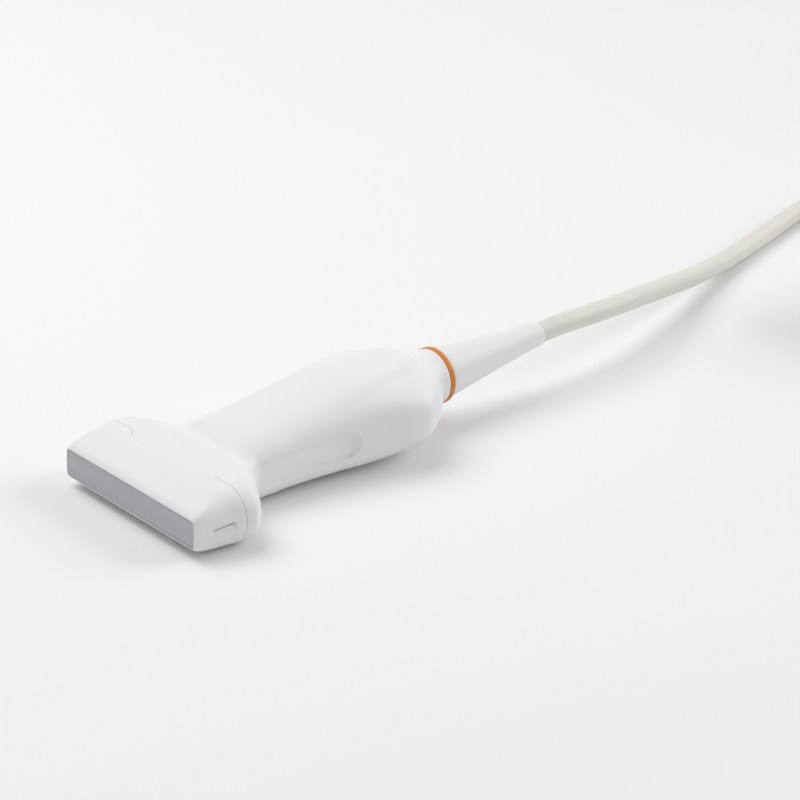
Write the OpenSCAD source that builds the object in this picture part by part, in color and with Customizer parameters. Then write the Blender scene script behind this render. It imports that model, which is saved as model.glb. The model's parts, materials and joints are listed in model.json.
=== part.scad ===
// Linear-array veterinary ultrasound probe on its lead, with the plug that locks into the scanner.
// The handpiece is drawn in its own frame, with the lens face at y = 0, the tail towards +Y and the
// parting plane of the two grip shells at z = 0, and is then laid on the table by seated().
// The lead runs along the table to a coil, and the plug lies beside the coil.

/* [Acoustic window] */
// Width of the lens face
lens_w = 54; // [44:0.5:64]
// Height of the lens face
lens_h = 8.1; // [6:0.1:10]
// Depth of the lens block behind its face
lens_depth = 2.6; // [2.2:0.1:4]
// White rim left beside the lens
rim = 0.45; // [0.3:0.05:1]
// Number of transducer elements
elements = 64; // [16:8:96]
// Slit between neighbouring elements
kerf = 0.14; // [0.08:0.02:0.3]
// Depth of the sound absorber behind the elements
backing_depth = 7.5; // [4:0.5:10]

/* [Handpiece] */
// Half width of the head at its shoulders
head_half_w = 31.3; // [26:0.1:36]
// Half thickness of the head
head_half_t = 8.6; // [7:0.1:12]
// Distance from the lens face to the widest part of the head
head_len = 18.5; // [15:0.5:24]
// Half width of the waist between head and grip
waist_half_w = 15.2; // [13.5:0.1:18]
// Half thickness of the waist
waist_half_t = 9.8; // [9:0.1:12]
// How far the grip sinks behind the head
collar_step = 0.9; // [0:0.1:1.5]
// Half width of the grip at its swell
swell_half_w = 21; // [17:0.1:25]
// Half thickness of the grip at its thickest point
belly_half_t = 12.8; // [11.5:0.1:16]
// Distance from the lens face to the thickest point of the grip
belly_y = 78; // [70:0.5:90]
// Distance from the lens face to the end of the grip's dome
dome_y = 110; // [104:0.5:135]
// Half width of the hood, the raised thumb rest that ends behind the swell
hood_half_w = 8; // [6:0.5:10]
// Height of that hood over the surface round it
hood_h = 1.3; // [0.4:0.1:2]
// Wall of the moulded shells
wall = 2; // [1.6:0.1:2.6]
// Open line between two shells
seam_gap = 0.12; // [0.06:0.02:0.3]
// How far the seam of the nose steps forward in the middle
seam_step = 3.2; // [1:0.1:4]
// Height of the finger grooves in the sides of the grip
groove_h = 8.2; // [5:0.1:12]
// Depth of the finger grooves
groove_depth = 0.8; // [0.3:0.1:1.2]
// Length of the orientation mark in the side of the nose
mark_len = 7.4; // [4:0.1:9]
// Height of the orientation mark
mark_h = 2; // [1:0.1:3]

/* [Tail] */
// Radius of the round tail of the grip
tail_r = 8.6; // [7.8:0.1:11]
// Length of the round tail
tail_len = 4.7; // [4:0.1:8]
// Radius of the coloured ring
ring_r = 8.8; // [8:0.1:11]
// Width of the coloured ring
ring_w = 2; // [1:0.1:4]
// Radius of the strain relief where it meets the ring
relief_r = 8.1; // [7:0.1:10]
// Length of the strain relief outside the ring
relief_len = 44; // [30:1:60]
// Wall of the strain relief at its tip
relief_tip_wall = 0.65; // [0.5:0.05:1.5]
// Running clearance round pins, bores and plugged-in pieces
fit = 0.05; // [0.02:0.01:0.08]

/* [Lead] */
// Diameter of the lead
lead_d = 6.6; // [5.4:0.1:7.2]
// Middle diameter of the turns of the coil
coil_d = 70; // [60:1:80]
// Turns lying side by side in the coil
coil_across = 3; // [2:1:4]
// Layers of turns in the coil
coil_layers = 2; // [1:1:3]

/* [Plug] */
// Width of the plug
plug_w = 58; // [52:1:72]
// Length of the plug
plug_l = 78; // [72:1:96]
// Thickness of the plug's case
case_h = 25; // [22:0.5:34]
// Corner radius of the plug's case
case_r = 9; // [5:0.5:12]
// Wall of the plug's case
case_wall = 2.2; // [1.6:0.1:3]
// Height of the metal shroud below the case
shroud_h = 8; // [6:0.5:12]
// Contact pins across the plug, on each side of its shaft
pin_rows = 3; // [2:1:4]
// Contact pins in each row
pins_per_row = 12; // [6:1:16]
// Radius of the lock shaft
shaft_r = 4; // [3:0.1:5]
// Length of the lock lever from the shaft to its tip
lever_len = 24; // [16:0.5:26]

/* [Hidden] */

// ---- Shape of the handpiece ----
// Corner radius of the white front at the lens face
face_corner = 1.5;
// Corner radius of the head at its shoulders
head_corner = 8;
// Distance over which the head draws in to the waist
shoulder_len = 15.5;
// Distance from the lens face to the seam of the nose, in the middle and at the sides
seam_y = 12.2;
seam_side_y = seam_y + seam_step;
// Half width of the forward step of that seam, and the length of each side of the step
step_half_w = 14.2;
step_run = 2.8;
// Distance from the end of the dome back to the swell of the grip
dome_len = 16.5;
swell_y = dome_y - dome_len;
waist_y = head_len + shoulder_len;
tail_end_y = dome_y + tail_len;
ring_end_y = tail_end_y + ring_w;
relief_end_y = ring_end_y + relief_len;
lead_r = lead_d / 2;
relief_tip_r = lead_r + relief_tip_wall;

function mix(a, b, u) = a + (b - a) * u;
function clamp01(u) = max(0, min(1, u));
function ease(u) = let (v = clamp01(u)) v * v * (3 - 2 * v);

// Stations of the handpiece, each [y, half width, half thickness, corner radius, egg share, egg power].
// A section is a box with round corners where the egg share is 0, and a superellipse where it is 1.
shoulder_steps = 6;
dome_steps = 6;
keys = concat(
    [[0, lens_w / 2 + rim, lens_h / 2 + rim, face_corner, 0, 3],
     [1.4, lens_w / 2 + rim + 0.6, lens_h / 2 + rim + 1.1, face_corner + 0.8, 0, 3],
     [5.5, mix(lens_w / 2, head_half_w, 0.42), mix(lens_h / 2, head_half_t, 0.66), 4.2, 0, 3],
     [seam_y - 1, mix(lens_w / 2, head_half_w, 0.66), head_half_t - 0.15, head_corner - 1, 0, 3],
     [seam_side_y, mix(lens_w / 2, head_half_w, 0.9), head_half_t, head_corner - 0.5, 0, 3]],
    [for (i = [0 : shoulder_steps]) let (u = i / shoulder_steps)
        [head_len + u * shoulder_len, mix(head_half_w, waist_half_w, ease(u)),
         mix(head_half_t, waist_half_t, pow(u, 2)) - collar_step * pow(sin(180 * clamp01(1.5 * u - 0.5)), 2),
         head_corner - 0.5 * u, ease(u), 3]],
    [[mix(waist_y, belly_y, 0.33), waist_half_w + 0.3, mix(waist_half_t, belly_half_t, 0.33), 8, 1, 2.8],
     [mix(waist_y, belly_y, 0.68), waist_half_w + 1.3, mix(waist_half_t, belly_half_t, 0.7), 8, 1, 2.6],
     [belly_y, mix(waist_half_w, swell_half_w, 0.55), belly_half_t, 8, 1, 2.6]],
    [for (i = [0 : dome_steps]) let (u = sin(90 * i / dome_steps))
        [swell_y + u * dome_len,
         tail_r + (swell_half_w - tail_r) * pow(1 - pow(u, 1.6), 0.85),
         tail_r + (belly_half_t - 0.9 - tail_r) * (1 - pow(u, 2.4)), 8, 1, mix(2.5, 2, u)]],
    [[tail_end_y, tail_r, tail_r, tail_r, 1, 2]]
);

function chord(i, c) = (keys[i + 1][c] - keys[i][c]) / (keys[i + 1][0] - keys[i][0]);
// Slope of column c at station i, flat at a peak and never steeper than its neighbours allow
function slope(i, c) =
    i == 0 ? chord(0, c) :
    i == len(keys) - 1 ? chord(i - 1, c) :
    let (a = chord(i - 1, c), b = chord(i, c)) a * b <= 0 ? 0 : 2 * a * b / (a + b);
function station(y, i = 0) = i >= len(keys) - 2 || y < keys[i + 1][0] ? i : station(y, i + 1);
// Column c of the station table at any distance y from the lens
function shape(y, c) =
    let (i = station(y), d = keys[i + 1][0] - keys[i][0], u = clamp01((y - keys[i][0]) / d))
    (2 * pow(u, 3) - 3 * u * u + 1) * keys[i][c] + (pow(u, 3) - 2 * u * u + u) * d * slope(i, c)
    + (3 * u * u - 2 * pow(u, 3)) * keys[i + 1][c] + (pow(u, 3) - u * u) * d * slope(i + 1, c);

// Points of a quarter section from the side (0) to the top (QUARTER)
QUARTER = 10;
SIDE = 2;
CORNER = 7;
// Slight crown of the flat faces of the head, which keeps them from sinking as they cool
crown = 0.1;
function box_point(w, t, r, bulge, i) =
    let (wc = w - bulge - r, tc = t - bulge - r,
         a = 90 * (i - SIDE) / (CORNER - SIDE), u = (QUARTER - i) / (QUARTER - CORNER))
    i <= SIDE ? [w - bulge * pow(i / SIDE, 2), tc * i / SIDE] :
    i <= CORNER ? [wc + r * cos(a), tc + r * sin(a)] :
    [wc * u, t - bulge * u * u];
function egg_point(w, t, n, i) =
    let (a = 90 * i / QUARTER) [w * pow(max(0, cos(a)), 2 / n), t * pow(max(0, sin(a)), 2 / n)];
// Height of the hood at (x, y). It has a round end, grows out of the grip over its length, and
// part of it is a sink of the surface beside it, which runs out towards the round tail.
hood_end_y = dome_y - 5.5;
hood_len = 40;
hood_edge = 3.5;
hood_sink = 0.35;
function hood(x, y) =
    let (out = norm([x, max(0, y - hood_end_y + hood_half_w)]) - hood_half_w,
         foot_y = hood_end_y + hood_edge / 2)
    hood_h * (1 - hood_sink - ease(0.5 + out / hood_edge)) * ease(1 + (y - hood_end_y) / hood_len)
    * (1 - ease((y - foot_y) / (dome_y - foot_y)));
// A point of the section at y, drawn in by inset, with i running round from the right side
function skin_point(y, inset, i) =
    let (q = floor(i / QUARTER) % 4, j = i % QUARTER, k = q % 2 == 0 ? j : QUARTER - j,
         w = shape(y, 1) - inset, t = shape(y, 2) - inset,
         r = max(0.4, min(shape(y, 3) - inset, t - crown - 0.1, w - crown - 0.1)),
         p = mix(box_point(w, t, r, crown, k), egg_point(w, t, shape(y, 5), k), shape(y, 4)))
    [p[0] * (q == 1 || q == 2 ? -1 : 1), y, q >= 2 ? -p[1] : p[1] * (1 + hood(p[0], y) / t)];
function skin(y, inset) = [for (i = [0 : 4 * QUARTER - 1]) skin_point(y, inset, i)];

// Solid through closed rings of points that all run round the same way. A ring that is not convex
// gives caps: a list of faces, each seen whole from its first point, that fill the ring.
module loft(rings, caps = []) {
    n = len(rings[0]);
    last = len(rings) - 1;
    fill = len(caps) > 0 ? caps : [[for (i = [0 : n - 1]) i]];
    polyhedron(
        points = [for (ring = rings) each ring],
        faces = concat(
            [for (f = fill) [for (i = [0 : len(f) - 1]) f[(len(f) - i) % len(f)]]],
            [for (k = [0 : last - 1], i = [0 : n - 1]) let (j = (i + 1) % n)
                each [[k * n + i, k * n + j, (k + 1) * n + j],
                      [k * n + i, (k + 1) * n + j, (k + 1) * n + i]]],
            [for (f = fill) [for (i = f) last * n + i]]));
}

// Open-ended shell between outer and inner rings
module tube_loft(outer, inner) {
    n = len(outer[0]);
    last = len(outer) - 1;
    m = n * (last + 1);
    polyhedron(
        points = concat([for (ring = outer) each ring], [for (ring = inner) each ring]),
        faces = concat(
            [for (k = [0 : last - 1], i = [0 : n - 1])
                let (j = (i + 1) % n, a = k * n + i, b = k * n + j, c = b + n, d = a + n)
                each [[a, b, c], [a, c, d], [m + a, m + c, m + b], [m + a, m + d, m + c]]],
            [for (i = [0 : n - 1]) let (j = (i + 1) % n)
                each [[j, i, m + i], [j, m + i, m + j]]],
            [for (i = [0 : n - 1]) let (j = (i + 1) % n, a = last * n + i, b = last * n + j)
                each [[a, b, m + b], [a, m + b, m + a]]]));
}

// ---- Helpers ----
// A child turned so that its own Z axis runs along the handpiece, from distance y
module along(y) {
    translate([0, y, 0]) rotate([-90, 0, 0]) children();
}
// A block centred on the axis in X and Z, from y0 to y1
module block(w, h, y0, y1) {
    translate([-w / 2, y0, -h / 2]) cube([w, y1 - y0, h]);
}
// Flat outline of a rectangle with round corners
module round_rect(w, h, r) {
    for (s = [-1, 1]) {
        square([w - (s > 0 ? 2 * r : 0), h - (s > 0 ? 0 : 2 * r)], center = true);
        for (t = [-1, 1]) translate([s * (w / 2 - r), t * (h / 2 - r)]) circle(r, $fn = 32);
    }
}

// ---- Acoustic stack ----
// Hollow in the back of the lens, which holds the matching layer and the elements
pocket_depth = 1.7;
lens_end_wall = 1.4;
lens_side_wall = 0.6;
pocket_w = lens_w - 2 * lens_end_wall;
pocket_h = lens_h - 2 * lens_side_wall;
match_t = 0.5;
element_t = 0.6;
stack_clear = 0.1;
match_y = lens_depth - pocket_depth;
element_y = match_y + match_t;
backing_y = element_y + element_t;
backing_end_y = backing_y + backing_depth;
backing_end_clear = 0.6;
backing_w = pocket_w - 2 * backing_end_clear;
backing_chamfer = [2, 1.2];
flex_t = 0.2;
// Opening of the frame, and the absorber that fits in it between the two flexible circuits
frame_open_w = pocket_w - 2 * stack_clear;
frame_open_h = pocket_h - 2 * stack_clear;
backing_h = frame_open_h - 2 * (flex_t + stack_clear);
window_clear = 0.08;
window_corner = 0.9;
frame_end_y = backing_end_y - 0.5;
flange_t = 1.2;
flange_lip = 1;
flange_end_inset = 0.5;
flange_corner = 1.25 * wall;

module acoustic_lens() {
    color("slategray") seated() difference() {
        along(0) linear_extrude(lens_depth) round_rect(lens_w, lens_h, window_corner);
        block(pocket_w, pocket_h, match_y, lens_depth + 1);
    }
}

module matching_layer() {
    color("darkgoldenrod") seated() block(frame_open_w, frame_open_h, match_y, element_y);
}

// One bar of the array for each element, side by side behind the matching layer
module piezo_elements() {
    pitch = frame_open_w / elements;
    color("dimgray") seated() for (i = [0 : elements - 1])
        translate([(i - (elements - 1) / 2) * pitch, 0, 0])
            block(pitch - kerf, backing_h, element_y, backing_y);
}

module backing_block() {
    h = backing_h / 2;
    color("saddlebrown") seated() translate([-backing_w / 2, 0, 0]) rotate([90, 0, 90])
        linear_extrude(backing_w)
            polygon([[backing_y, h], [backing_y, -h], [backing_end_y - backing_chamfer[0], -h],
                     [backing_end_y, -h + backing_chamfer[1]], [backing_end_y, h - backing_chamfer[1]],
                     [backing_end_y - backing_chamfer[0], h]]);
}

// Frame that carries the stack inside the nose, open at both ends, with a flange behind
module array_frame() {
    color("silver") seated() difference() {
        union() {
            along(lens_depth) linear_extrude(frame_end_y - lens_depth)
                round_rect(lens_w, lens_h, window_corner);
            along(frame_end_y - flange_t) linear_extrude(flange_t)
                round_rect(lens_w - 2 * flange_end_inset, lens_h + 2 * flange_lip, flange_corner);
        }
        block(frame_open_w, frame_open_h, 0, frame_end_y + 1);
    }
}

// ---- Electronics of the handpiece ----
board_t = 1.2;
board_y0 = waist_y + 3;
board_len = 46;
board_w = 22;
socket_h = 2.2;
socket_w = 17;
socket_len = 4;

// Flexible circuit from one face of the stack back to its socket on the board
module flex_circuit(side) {
    z0 = backing_h / 2;
    z1 = board_t / 2 + socket_h / 2 - flex_t / 2;
    bend_y = backing_end_y + 3;
    flat_y = board_y0 - 4;
    wide = backing_w / 2 - 0.5;
    narrow = socket_w / 2 - 1;
    color("peru") seated() mirror([0, 0, side < 0 ? 1 : 0]) intersection() {
        translate([-wide, 0, 0]) rotate([90, 0, 90]) linear_extrude(2 * wide)
            polygon([[backing_y, z0], [bend_y, z0], [flat_y, z1], [board_y0, z1], [board_y0, z1 + flex_t],
                     [flat_y, z1 + flex_t], [bend_y, z0 + flex_t], [backing_y, z0 + flex_t]]);
        linear_extrude(lens_h)
            polygon([[-wide, 0], [wide, 0], [wide, bend_y], [narrow, flat_y - 1], [narrow, board_y0],
                     [-narrow, board_y0], [-narrow, flat_y - 1], [-wide, bend_y]]);
    }
}
module flex_circuit_upper() { flex_circuit(1); }
module flex_circuit_lower() { flex_circuit(-1); }

post_r = 2.1;
post_hole_r = 0.8;
post_hole_depth = 4;
board_hole_r = 1;
screw_r = 0.75;
screw_len = 3;
screw_head_r = 1.5;
screw_head_h = 1;
post_inset = 2.6;
board_posts = [for (x = [-1, 1], y = [7.2, board_len - 4]) [x * (board_w / 2 - post_inset), board_y0 + y]];

module probe_board() {
    color("darkgreen") seated() difference() {
        block(board_w, board_t, board_y0, board_y0 + board_len);
        for (p = board_posts)
            translate([p[0], p[1], -board_t]) cylinder(r = board_hole_r, h = 2 * board_t, $fn = 24);
    }
}

module flex_sockets() {
    color("ivory") seated() for (s = [-1, 1])
        translate([-socket_w / 2, board_y0, s > 0 ? board_t / 2 : -board_t / 2 - socket_h])
            cube([socket_w, socket_len, socket_h]);
}

// Two rows of small tuning coils on each face of the board
tuner = [2.4, 3, 1.8];
tuner_x = 3.2;
tuner_y0 = board_y0 + 9;
tuner_pitch = 4.2;
tuners_per_row = 6;
module tuning_coils() {
    color("black") seated() for (s = [-1, 1], x = [-1, 1], i = [0 : tuners_per_row - 1])
        translate([x * tuner_x - tuner[0] / 2, tuner_y0 + i * tuner_pitch,
                   s > 0 ? board_t / 2 : -board_t / 2 - tuner[2]])
            cube(tuner);
}

module board_screws() {
    color("silver") seated() for (p = board_posts) translate([p[0], p[1], 0]) {
        translate([0, 0, board_t / 2]) cylinder(r = screw_head_r, h = screw_head_h, $fn = 24);
        translate([0, 0, -screw_len]) cylinder(r = screw_r, h = screw_len + board_t / 2, $fn = 24);
    }
}

// Rings of a round tube through points, for loft()
function unit(v) = v / norm(v);
function tangent_at(p, i) = unit(p[min(i + 1, len(p) - 1)] - p[max(i - 1, 0)]);
function tube_rings(p, r, sides) = [for (i = [0 : len(p) - 1])
    let (t = tangent_at(p, i), s = unit(cross(t, [0, 0, 1])), n = cross(s, t))
    [for (k = [0 : sides - 1]) p[i] + r * (cos(360 * k / sides) * s + sin(360 * k / sides) * n)]];
// A smooth line through the points of p, with m steps between neighbours
function smooth_line(p, m) = concat(
    [for (i = [0 : len(p) - 2], j = [0 : m - 1])
        let (a = i > 0 ? p[i - 1] : 2 * p[0] - p[1], b = p[i], c = p[i + 1],
             d = i < len(p) - 2 ? p[i + 2] : 2 * p[i + 1] - p[i], u = j / m)
        b + u * (c - a) / 2 + u * u * (a - 2.5 * b + 2 * c - d / 2)
        + pow(u, 3) * (1.5 * (b - c) + (d - a) / 2)],
    [p[len(p) - 1]]);

// Bundles of fine coaxial wires from the end of the lead to both faces of the board
fan_count = 4;
fan_r = 0.45;
// Pitch of the wires on the board and in the lead, and half the distance between their two layers there
fan_pitch = 3;
fan_lead_pitch = 1;
fan_lead_z = 0.8;
fan_lap = 5;
board_end_y = board_y0 + board_len;
module coax_fanout() {
    color("lightsteelblue") seated() for (i = [0 : fan_count - 1], s = [-1, 1]) {
        k = i - (fan_count - 1) / 2;
        x0 = k * fan_pitch;
        x1 = k * fan_lead_pitch;
        z0 = s * (board_t / 2 + fan_r + 0.05);
        z1 = s * fan_lead_z;
        loft(tube_rings(smooth_line([[x0, board_end_y - fan_lap, z0], [x0, board_end_y - 1, z0],
            [(x0 + x1) / 2, mix(board_end_y, lead_start_y, 0.5), z0], [x1, lead_start_y - 4, z1],
            [x1, lead_start_y - 2, z1], [x1, lead_start_y, z1]], 2), fan_r, 6));
    }
}

// Thin metal sleeve soldered round the board, cut away over the posts
sleeve_t = 0.4;
sleeve_h = 8;
sleeve_clear = 0.05;
sleeve_cut = 2 * post_r + 0.6;
sleeve_w = board_w + 2 * (sleeve_clear + sleeve_t);
module shield_sleeve() {
    color("goldenrod") seated() difference() {
        block(sleeve_w, sleeve_h, board_y0 + socket_len + 1, board_end_y - 1);
        block(sleeve_w - 2 * sleeve_t, sleeve_h - 2 * sleeve_t, board_y0, board_end_y);
        for (p = board_posts) translate([p[0], p[1], -sleeve_h / 2])
            cube([sleeve_cut, sleeve_cut, sleeve_h], center = true);
    }
}

// ---- Shells of the handpiece ----
// Front edge of the grip shells, seen from above
function seam_line(x) = mix(seam_y, seam_side_y, ease((abs(x) - step_half_w) / step_run));
module behind_seam(shift) {
    far = head_half_w + 10;
    linear_extrude(2 * far, center = true) polygon(concat(
        [for (x = [-far, for (i = [-10 : 10]) sign(i) * (step_half_w + step_run * (abs(i) - 1) / 9), far])
            [x, seam_line(x) + shift]],
        [[far, relief_end_y], [-far, relief_end_y]]));
}

// Long recess in a side of the grip: its floor follows the side, deeper towards the round end
groove_y0 = head_len + 12;
groove_len = 40;
groove_reach = 6;
groove_round_y = groove_y0 + groove_len - groove_h / 2;
groove_y = concat([for (i = [0 : 6]) mix(groove_y0, groove_round_y, i / 6)],
                  [for (i = [1 : 6]) groove_round_y + groove_h / 2 * sin(14 * i)]);
function groove_half_h(y) =
    y < groove_round_y ? groove_h / 2 : sqrt(pow(groove_h / 2, 2) - pow(y - groove_round_y, 2));
module finger_groove(side) {
    mirror([side < 0 ? 1 : 0, 0, 0]) loft([for (y = groove_y)
        let (floor_x = shape(y, 1) - groove_depth * mix(0.6, 1.4, (y - groove_y0) / groove_len),
             out_x = floor_x + groove_reach, h = groove_half_h(y))
        [[floor_x, y, -h], [out_x, y, -h], [out_x, y, h], [floor_x, y, h]]]);
}

window_end_y = backing_end_y - 1.5;
window_flare = 1.5;
nose_y = [0, 0.5, 1.4, mix(1.4, window_end_y - window_flare, 0.5), window_end_y - window_flare, window_end_y,
          seam_y - 1, mix(seam_y - 1, seam_side_y, 0.5), seam_side_y + 0.5];

// Inside of the nose: the window for the stack, then a hollow that opens towards the seam. The
// stack goes in from behind, so the hollow is nowhere narrower than the window.
function nose_inner(y) =
    let (open = ease((y - window_end_y + window_flare) / window_flare),
         window_w = lens_w / 2 + window_clear,
         window_t = lens_h / 2 + window_clear,
         w = mix(window_w, max(window_w, shape(y, 1) - wall), open),
         t = mix(window_t, max(window_t, shape(y, 2) - wall), open),
         back = ease((y - window_end_y) / (seam_y - 1 - window_end_y)),
         r = mix(window_corner + window_clear, shape(y, 3) - wall, back))
    [for (i = [0 : 4 * QUARTER - 1])
        let (q = floor(i / QUARTER) % 4, j = i % QUARTER,
             p = box_point(w, t, r, back * crown, q % 2 == 0 ? j : QUARTER - j))
        [p[0] * (q == 1 || q == 2 ? -1 : 1), y, p[1] * (q >= 2 ? -1 : 1)]];

// Notch in the side of the nose that marks the first element: deep above, and running out below
mark_y0 = 5;
mark_depth = 0.8;
mark_slant = 9;
module nose_cap() {
    mark_y = mark_y0 + mark_len / 2;
    color("white") seated() difference() {
        tube_loft([for (y = nose_y) skin(y, 0)], [for (y = nose_y) nose_inner(y)]);
        behind_seam(-seam_gap / 2);
        translate([shape(mark_y, 1), mark_y, 0]) rotate([90, 0, -mark_slant])
            linear_extrude(mark_len, center = true)
                polygon([[-mark_depth, mark_h / 2], [0, -mark_h / 2], [wall, -mark_h / 2],
                         [wall, mark_h / 2]]);
    }
}

// Rubber ring inside the seam of the nose
nose_seal_clear = 0.15;
nose_seal_t = 0.85;
nose_seal_lap = 1.5;
module nose_seal() {
    y = [seam_y - nose_seal_lap, seam_y + nose_seal_lap, seam_side_y + nose_seal_lap,
         seam_side_y + nose_seal_lap + 2];
    outer = wall + nose_seal_clear;
    color("dimgray") seated()
        tube_loft([for (v = y) skin(v, outer)], [for (v = y) skin(v, outer + nose_seal_t)]);
}

// Stations of the grip shells: close together where the form turns quickly
lip_y = dome_y + 0.3;
grip_y = concat(
    [seam_y - 0.5, mix(seam_y, seam_side_y, 0.5), seam_side_y, head_len],
    [for (i = [1 : 8]) head_len + i * shoulder_len / 8],
    [for (i = [1 : 6]) mix(waist_y, belly_y, i / 6)],
    [for (i = [1 : 2]) mix(belly_y, swell_y, i / 2)],
    [for (i = [1 : 9]) swell_y + dome_len * sin(90 * i / 9)],
    [lip_y, lip_y + 0.1, tail_end_y]);

// Neck of the strain relief, and the lip of the tail that closes round it
neck_r = tail_r - 3.2;
lip_clear = 0.1;
function inner_inset(y) = y > lip_y ? tail_r - neck_r - lip_clear : wall;

// Half section of the grip as a closed loop. The lower shell (side -1) has a tongue along the inner
// half of its edges, and the upper shell (side 1) has the rebate that takes it.
tongue_h = 1.2;
tongue_clear = 0.05;
// Least rise from one point to the next where a wall stands upright, so that no two points meet
rise = 0.02;
function half_section(y, side) =
    let (n = 2 * QUARTER, first = side > 0 ? 0 : n, edge = seam_gap / 2,
         step = side > 0 ? tongue_h + 2 * tongue_clear : tongue_h,
         inset = inner_inset(y), w_in = shape(y, 1) - inset,
         x_mid = w_in + inset / 2 + side * tongue_clear,
         arc = function(inset, z0) [for (i = [0 : n])
             let (p = skin_point(y, inset, (first + i) % (2 * n)))
             [p[0], y, side * max(side * p[2], z0 + rise * min(i, n - i))]],
         inner = arc(inset, side > 0 ? step : 0))
    concat(arc(0, edge),
           [[-side * x_mid, y, side * edge], [-side * x_mid, y, step]],
           side > 0 ? [] : [[w_in, y, step]],
           [for (i = [n : -1 : 0]) inner[i]],
           side > 0 ? [] : [[-w_in, y, step]],
           [[side * x_mid, y, step], [side * x_mid, y, side * edge]]);

// Faces that fill a half section. Point c is the first on the outline that lies beyond the step.
function half_caps(side) =
    let (n = 2 * QUARTER, c = 3, inner0 = 2 * n + (side > 0 ? 3 : 4), end = inner0 + (side > 0 ? 2 : 3),
         run = function(a, b) [for (i = [a : b]) i])
    concat(
        [concat([end], run(0, c)), concat([n + 1], run(n - c, n))],
        side > 0 ?
            [concat([c], run(inner0 - c, end)), concat([n - c], run(n + 1, inner0 - n + c))] :
            [concat([c], run(inner0 - c, inner0), [end]), run(inner0, end),
             concat([n - c, n + 1], run(inner0 - n, inner0 - n + c)), run(n + 1, inner0 - n)],
        [for (k = [c : n - c - 1]) [k, k + 1, inner0 - k - 1, inner0 - k]]);

module grip_shell(side) {
    difference() {
        loft([for (y = grip_y) half_section(y, side)], half_caps(side));
        difference() {
            block(2 * head_half_w + 10, 4 * belly_half_t, 0, seam_side_y + 1);
            behind_seam(seam_gap / 2);
        }
        finger_groove(1);
        finger_groove(-1);
    }
}

// Height of the inside of the grip above its axis, over a point at (x, y)
function roof(x, y, inset) = let (n = shape(y, 5))
    (shape(y, 2) - inset) * pow(1 - pow(abs(x) / (shape(y, 1) - inset), n), 1 / n);

module housing_upper() {
    color("white") seated() grip_shell(1);
}

module housing_lower() {
    color("white") seated() difference() {
        union() {
            grip_shell(-1);
            for (p = board_posts) translate([p[0], p[1], -roof(p[0], p[1], wall / 2)])
                cylinder(r = post_r, h = roof(p[0], p[1], wall / 2) - board_t / 2, $fn = 32);
        }
        for (p = board_posts) translate([p[0], p[1], -post_hole_depth])
            cylinder(r = post_hole_r, h = post_hole_depth, $fn = 24);
    }
}

// ---- How the handpiece lies ----
// It touches the table under its head and under its grip, so its tail points up a little.
// The steepest grip ring as seen from a head ring is the one that the grip rests on.
rings_y = concat(nose_y, grip_y);
seat_pitch = min([for (a = rings_y) if (a < waist_y)
    max([for (b = rings_y) if (b > waist_y) atan((shape(b, 2) - shape(a, 2)) / (b - a))])]);
seat_height = max([for (y = rings_y) shape(y, 2) * cos(seat_pitch) - y * sin(seat_pitch)]);
front_reach = (lens_h / 2 + rim) * sin(seat_pitch);
rear_reach = relief_end_y * cos(seat_pitch) + relief_tip_r * sin(seat_pitch);
seat_shift = (rear_reach - front_reach) / 2;
module seated() {
    translate([0, -seat_shift, seat_height]) rotate([seat_pitch, 0, 0]) children();
}
// Where a point on the axis of the handpiece lies on the table
function on_axis(y) = [0, y * cos(seat_pitch) - seat_shift, y * sin(seat_pitch) + seat_height];

// ---- Tail ----
relief_bore_r = lead_r + fit;
flange_r = tail_r - wall - 0.2;
relief_y0 = dome_y - 4;
relief_flange_y0 = dome_y - 1.8;
ring_seat_r = neck_r + 0.6;
ring_edge = 0.3;
seal_r = 0.6;
seal_clear = 0.02;
seal_centre_r = neck_r + lip_clear - seal_r - seal_clear;
seal_y = mix(lip_y, tail_end_y, 0.5);
ferrule_y0 = dome_y - 12;
ferrule_len = 7;
ferrule_wall = 0.8;
ferrule_lip = 0.6;
ferrule_end = 1;
lead_start_y = ferrule_y0 + ferrule_end;

// Brass crimp on the end of the lead
module crimp_ferrule() {
    color("goldenrod") seated() along(ferrule_y0) difference() {
        cylinder(r = lead_r + ferrule_wall, h = ferrule_len, $fn = 48);
        translate([0, 0, ferrule_end]) cylinder(r = relief_bore_r, h = ferrule_len, $fn = 48);
        translate([0, 0, -1]) cylinder(r = lead_r - ferrule_lip, h = ferrule_end + 2, $fn = 48);
    }
}

// O-ring between the strain relief and the tail of the grip
module tail_seal() {
    color("dimgray") seated() along(seal_y) rotate_extrude($fn = 64)
        translate([seal_centre_r, 0]) circle(seal_r, $fn = 24);
}

module colour_ring() {
    inner = ring_seat_r + fit;
    color("darkorange") seated() along(tail_end_y) rotate_extrude($fn = 96)
        polygon([[inner, 0], [ring_r - ring_edge, 0], [ring_r, ring_edge], [ring_r, ring_w - ring_edge],
                 [ring_r - ring_edge, ring_w], [inner, ring_w]]);
}

// Cone of a strain relief, from radius r0 at distance y0 to r1 at y1, as points of its outline.
// It draws in a little faster near its root, and its tip is rounded off.
cone_steps = 10;
cone_power = 1.15;
tip_edge = [0.3, 1];
function relief_cone(r0, r1, y0, y1) = concat(
    [for (i = [0 : cone_steps]) let (u = i / cone_steps)
        [r1 + (r0 - r1) * pow(1 - u, cone_power), mix(y0, y1 - tip_edge[1], u)]],
    [[r1 - tip_edge[0], y1], [relief_bore_r, y1]]);

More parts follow.
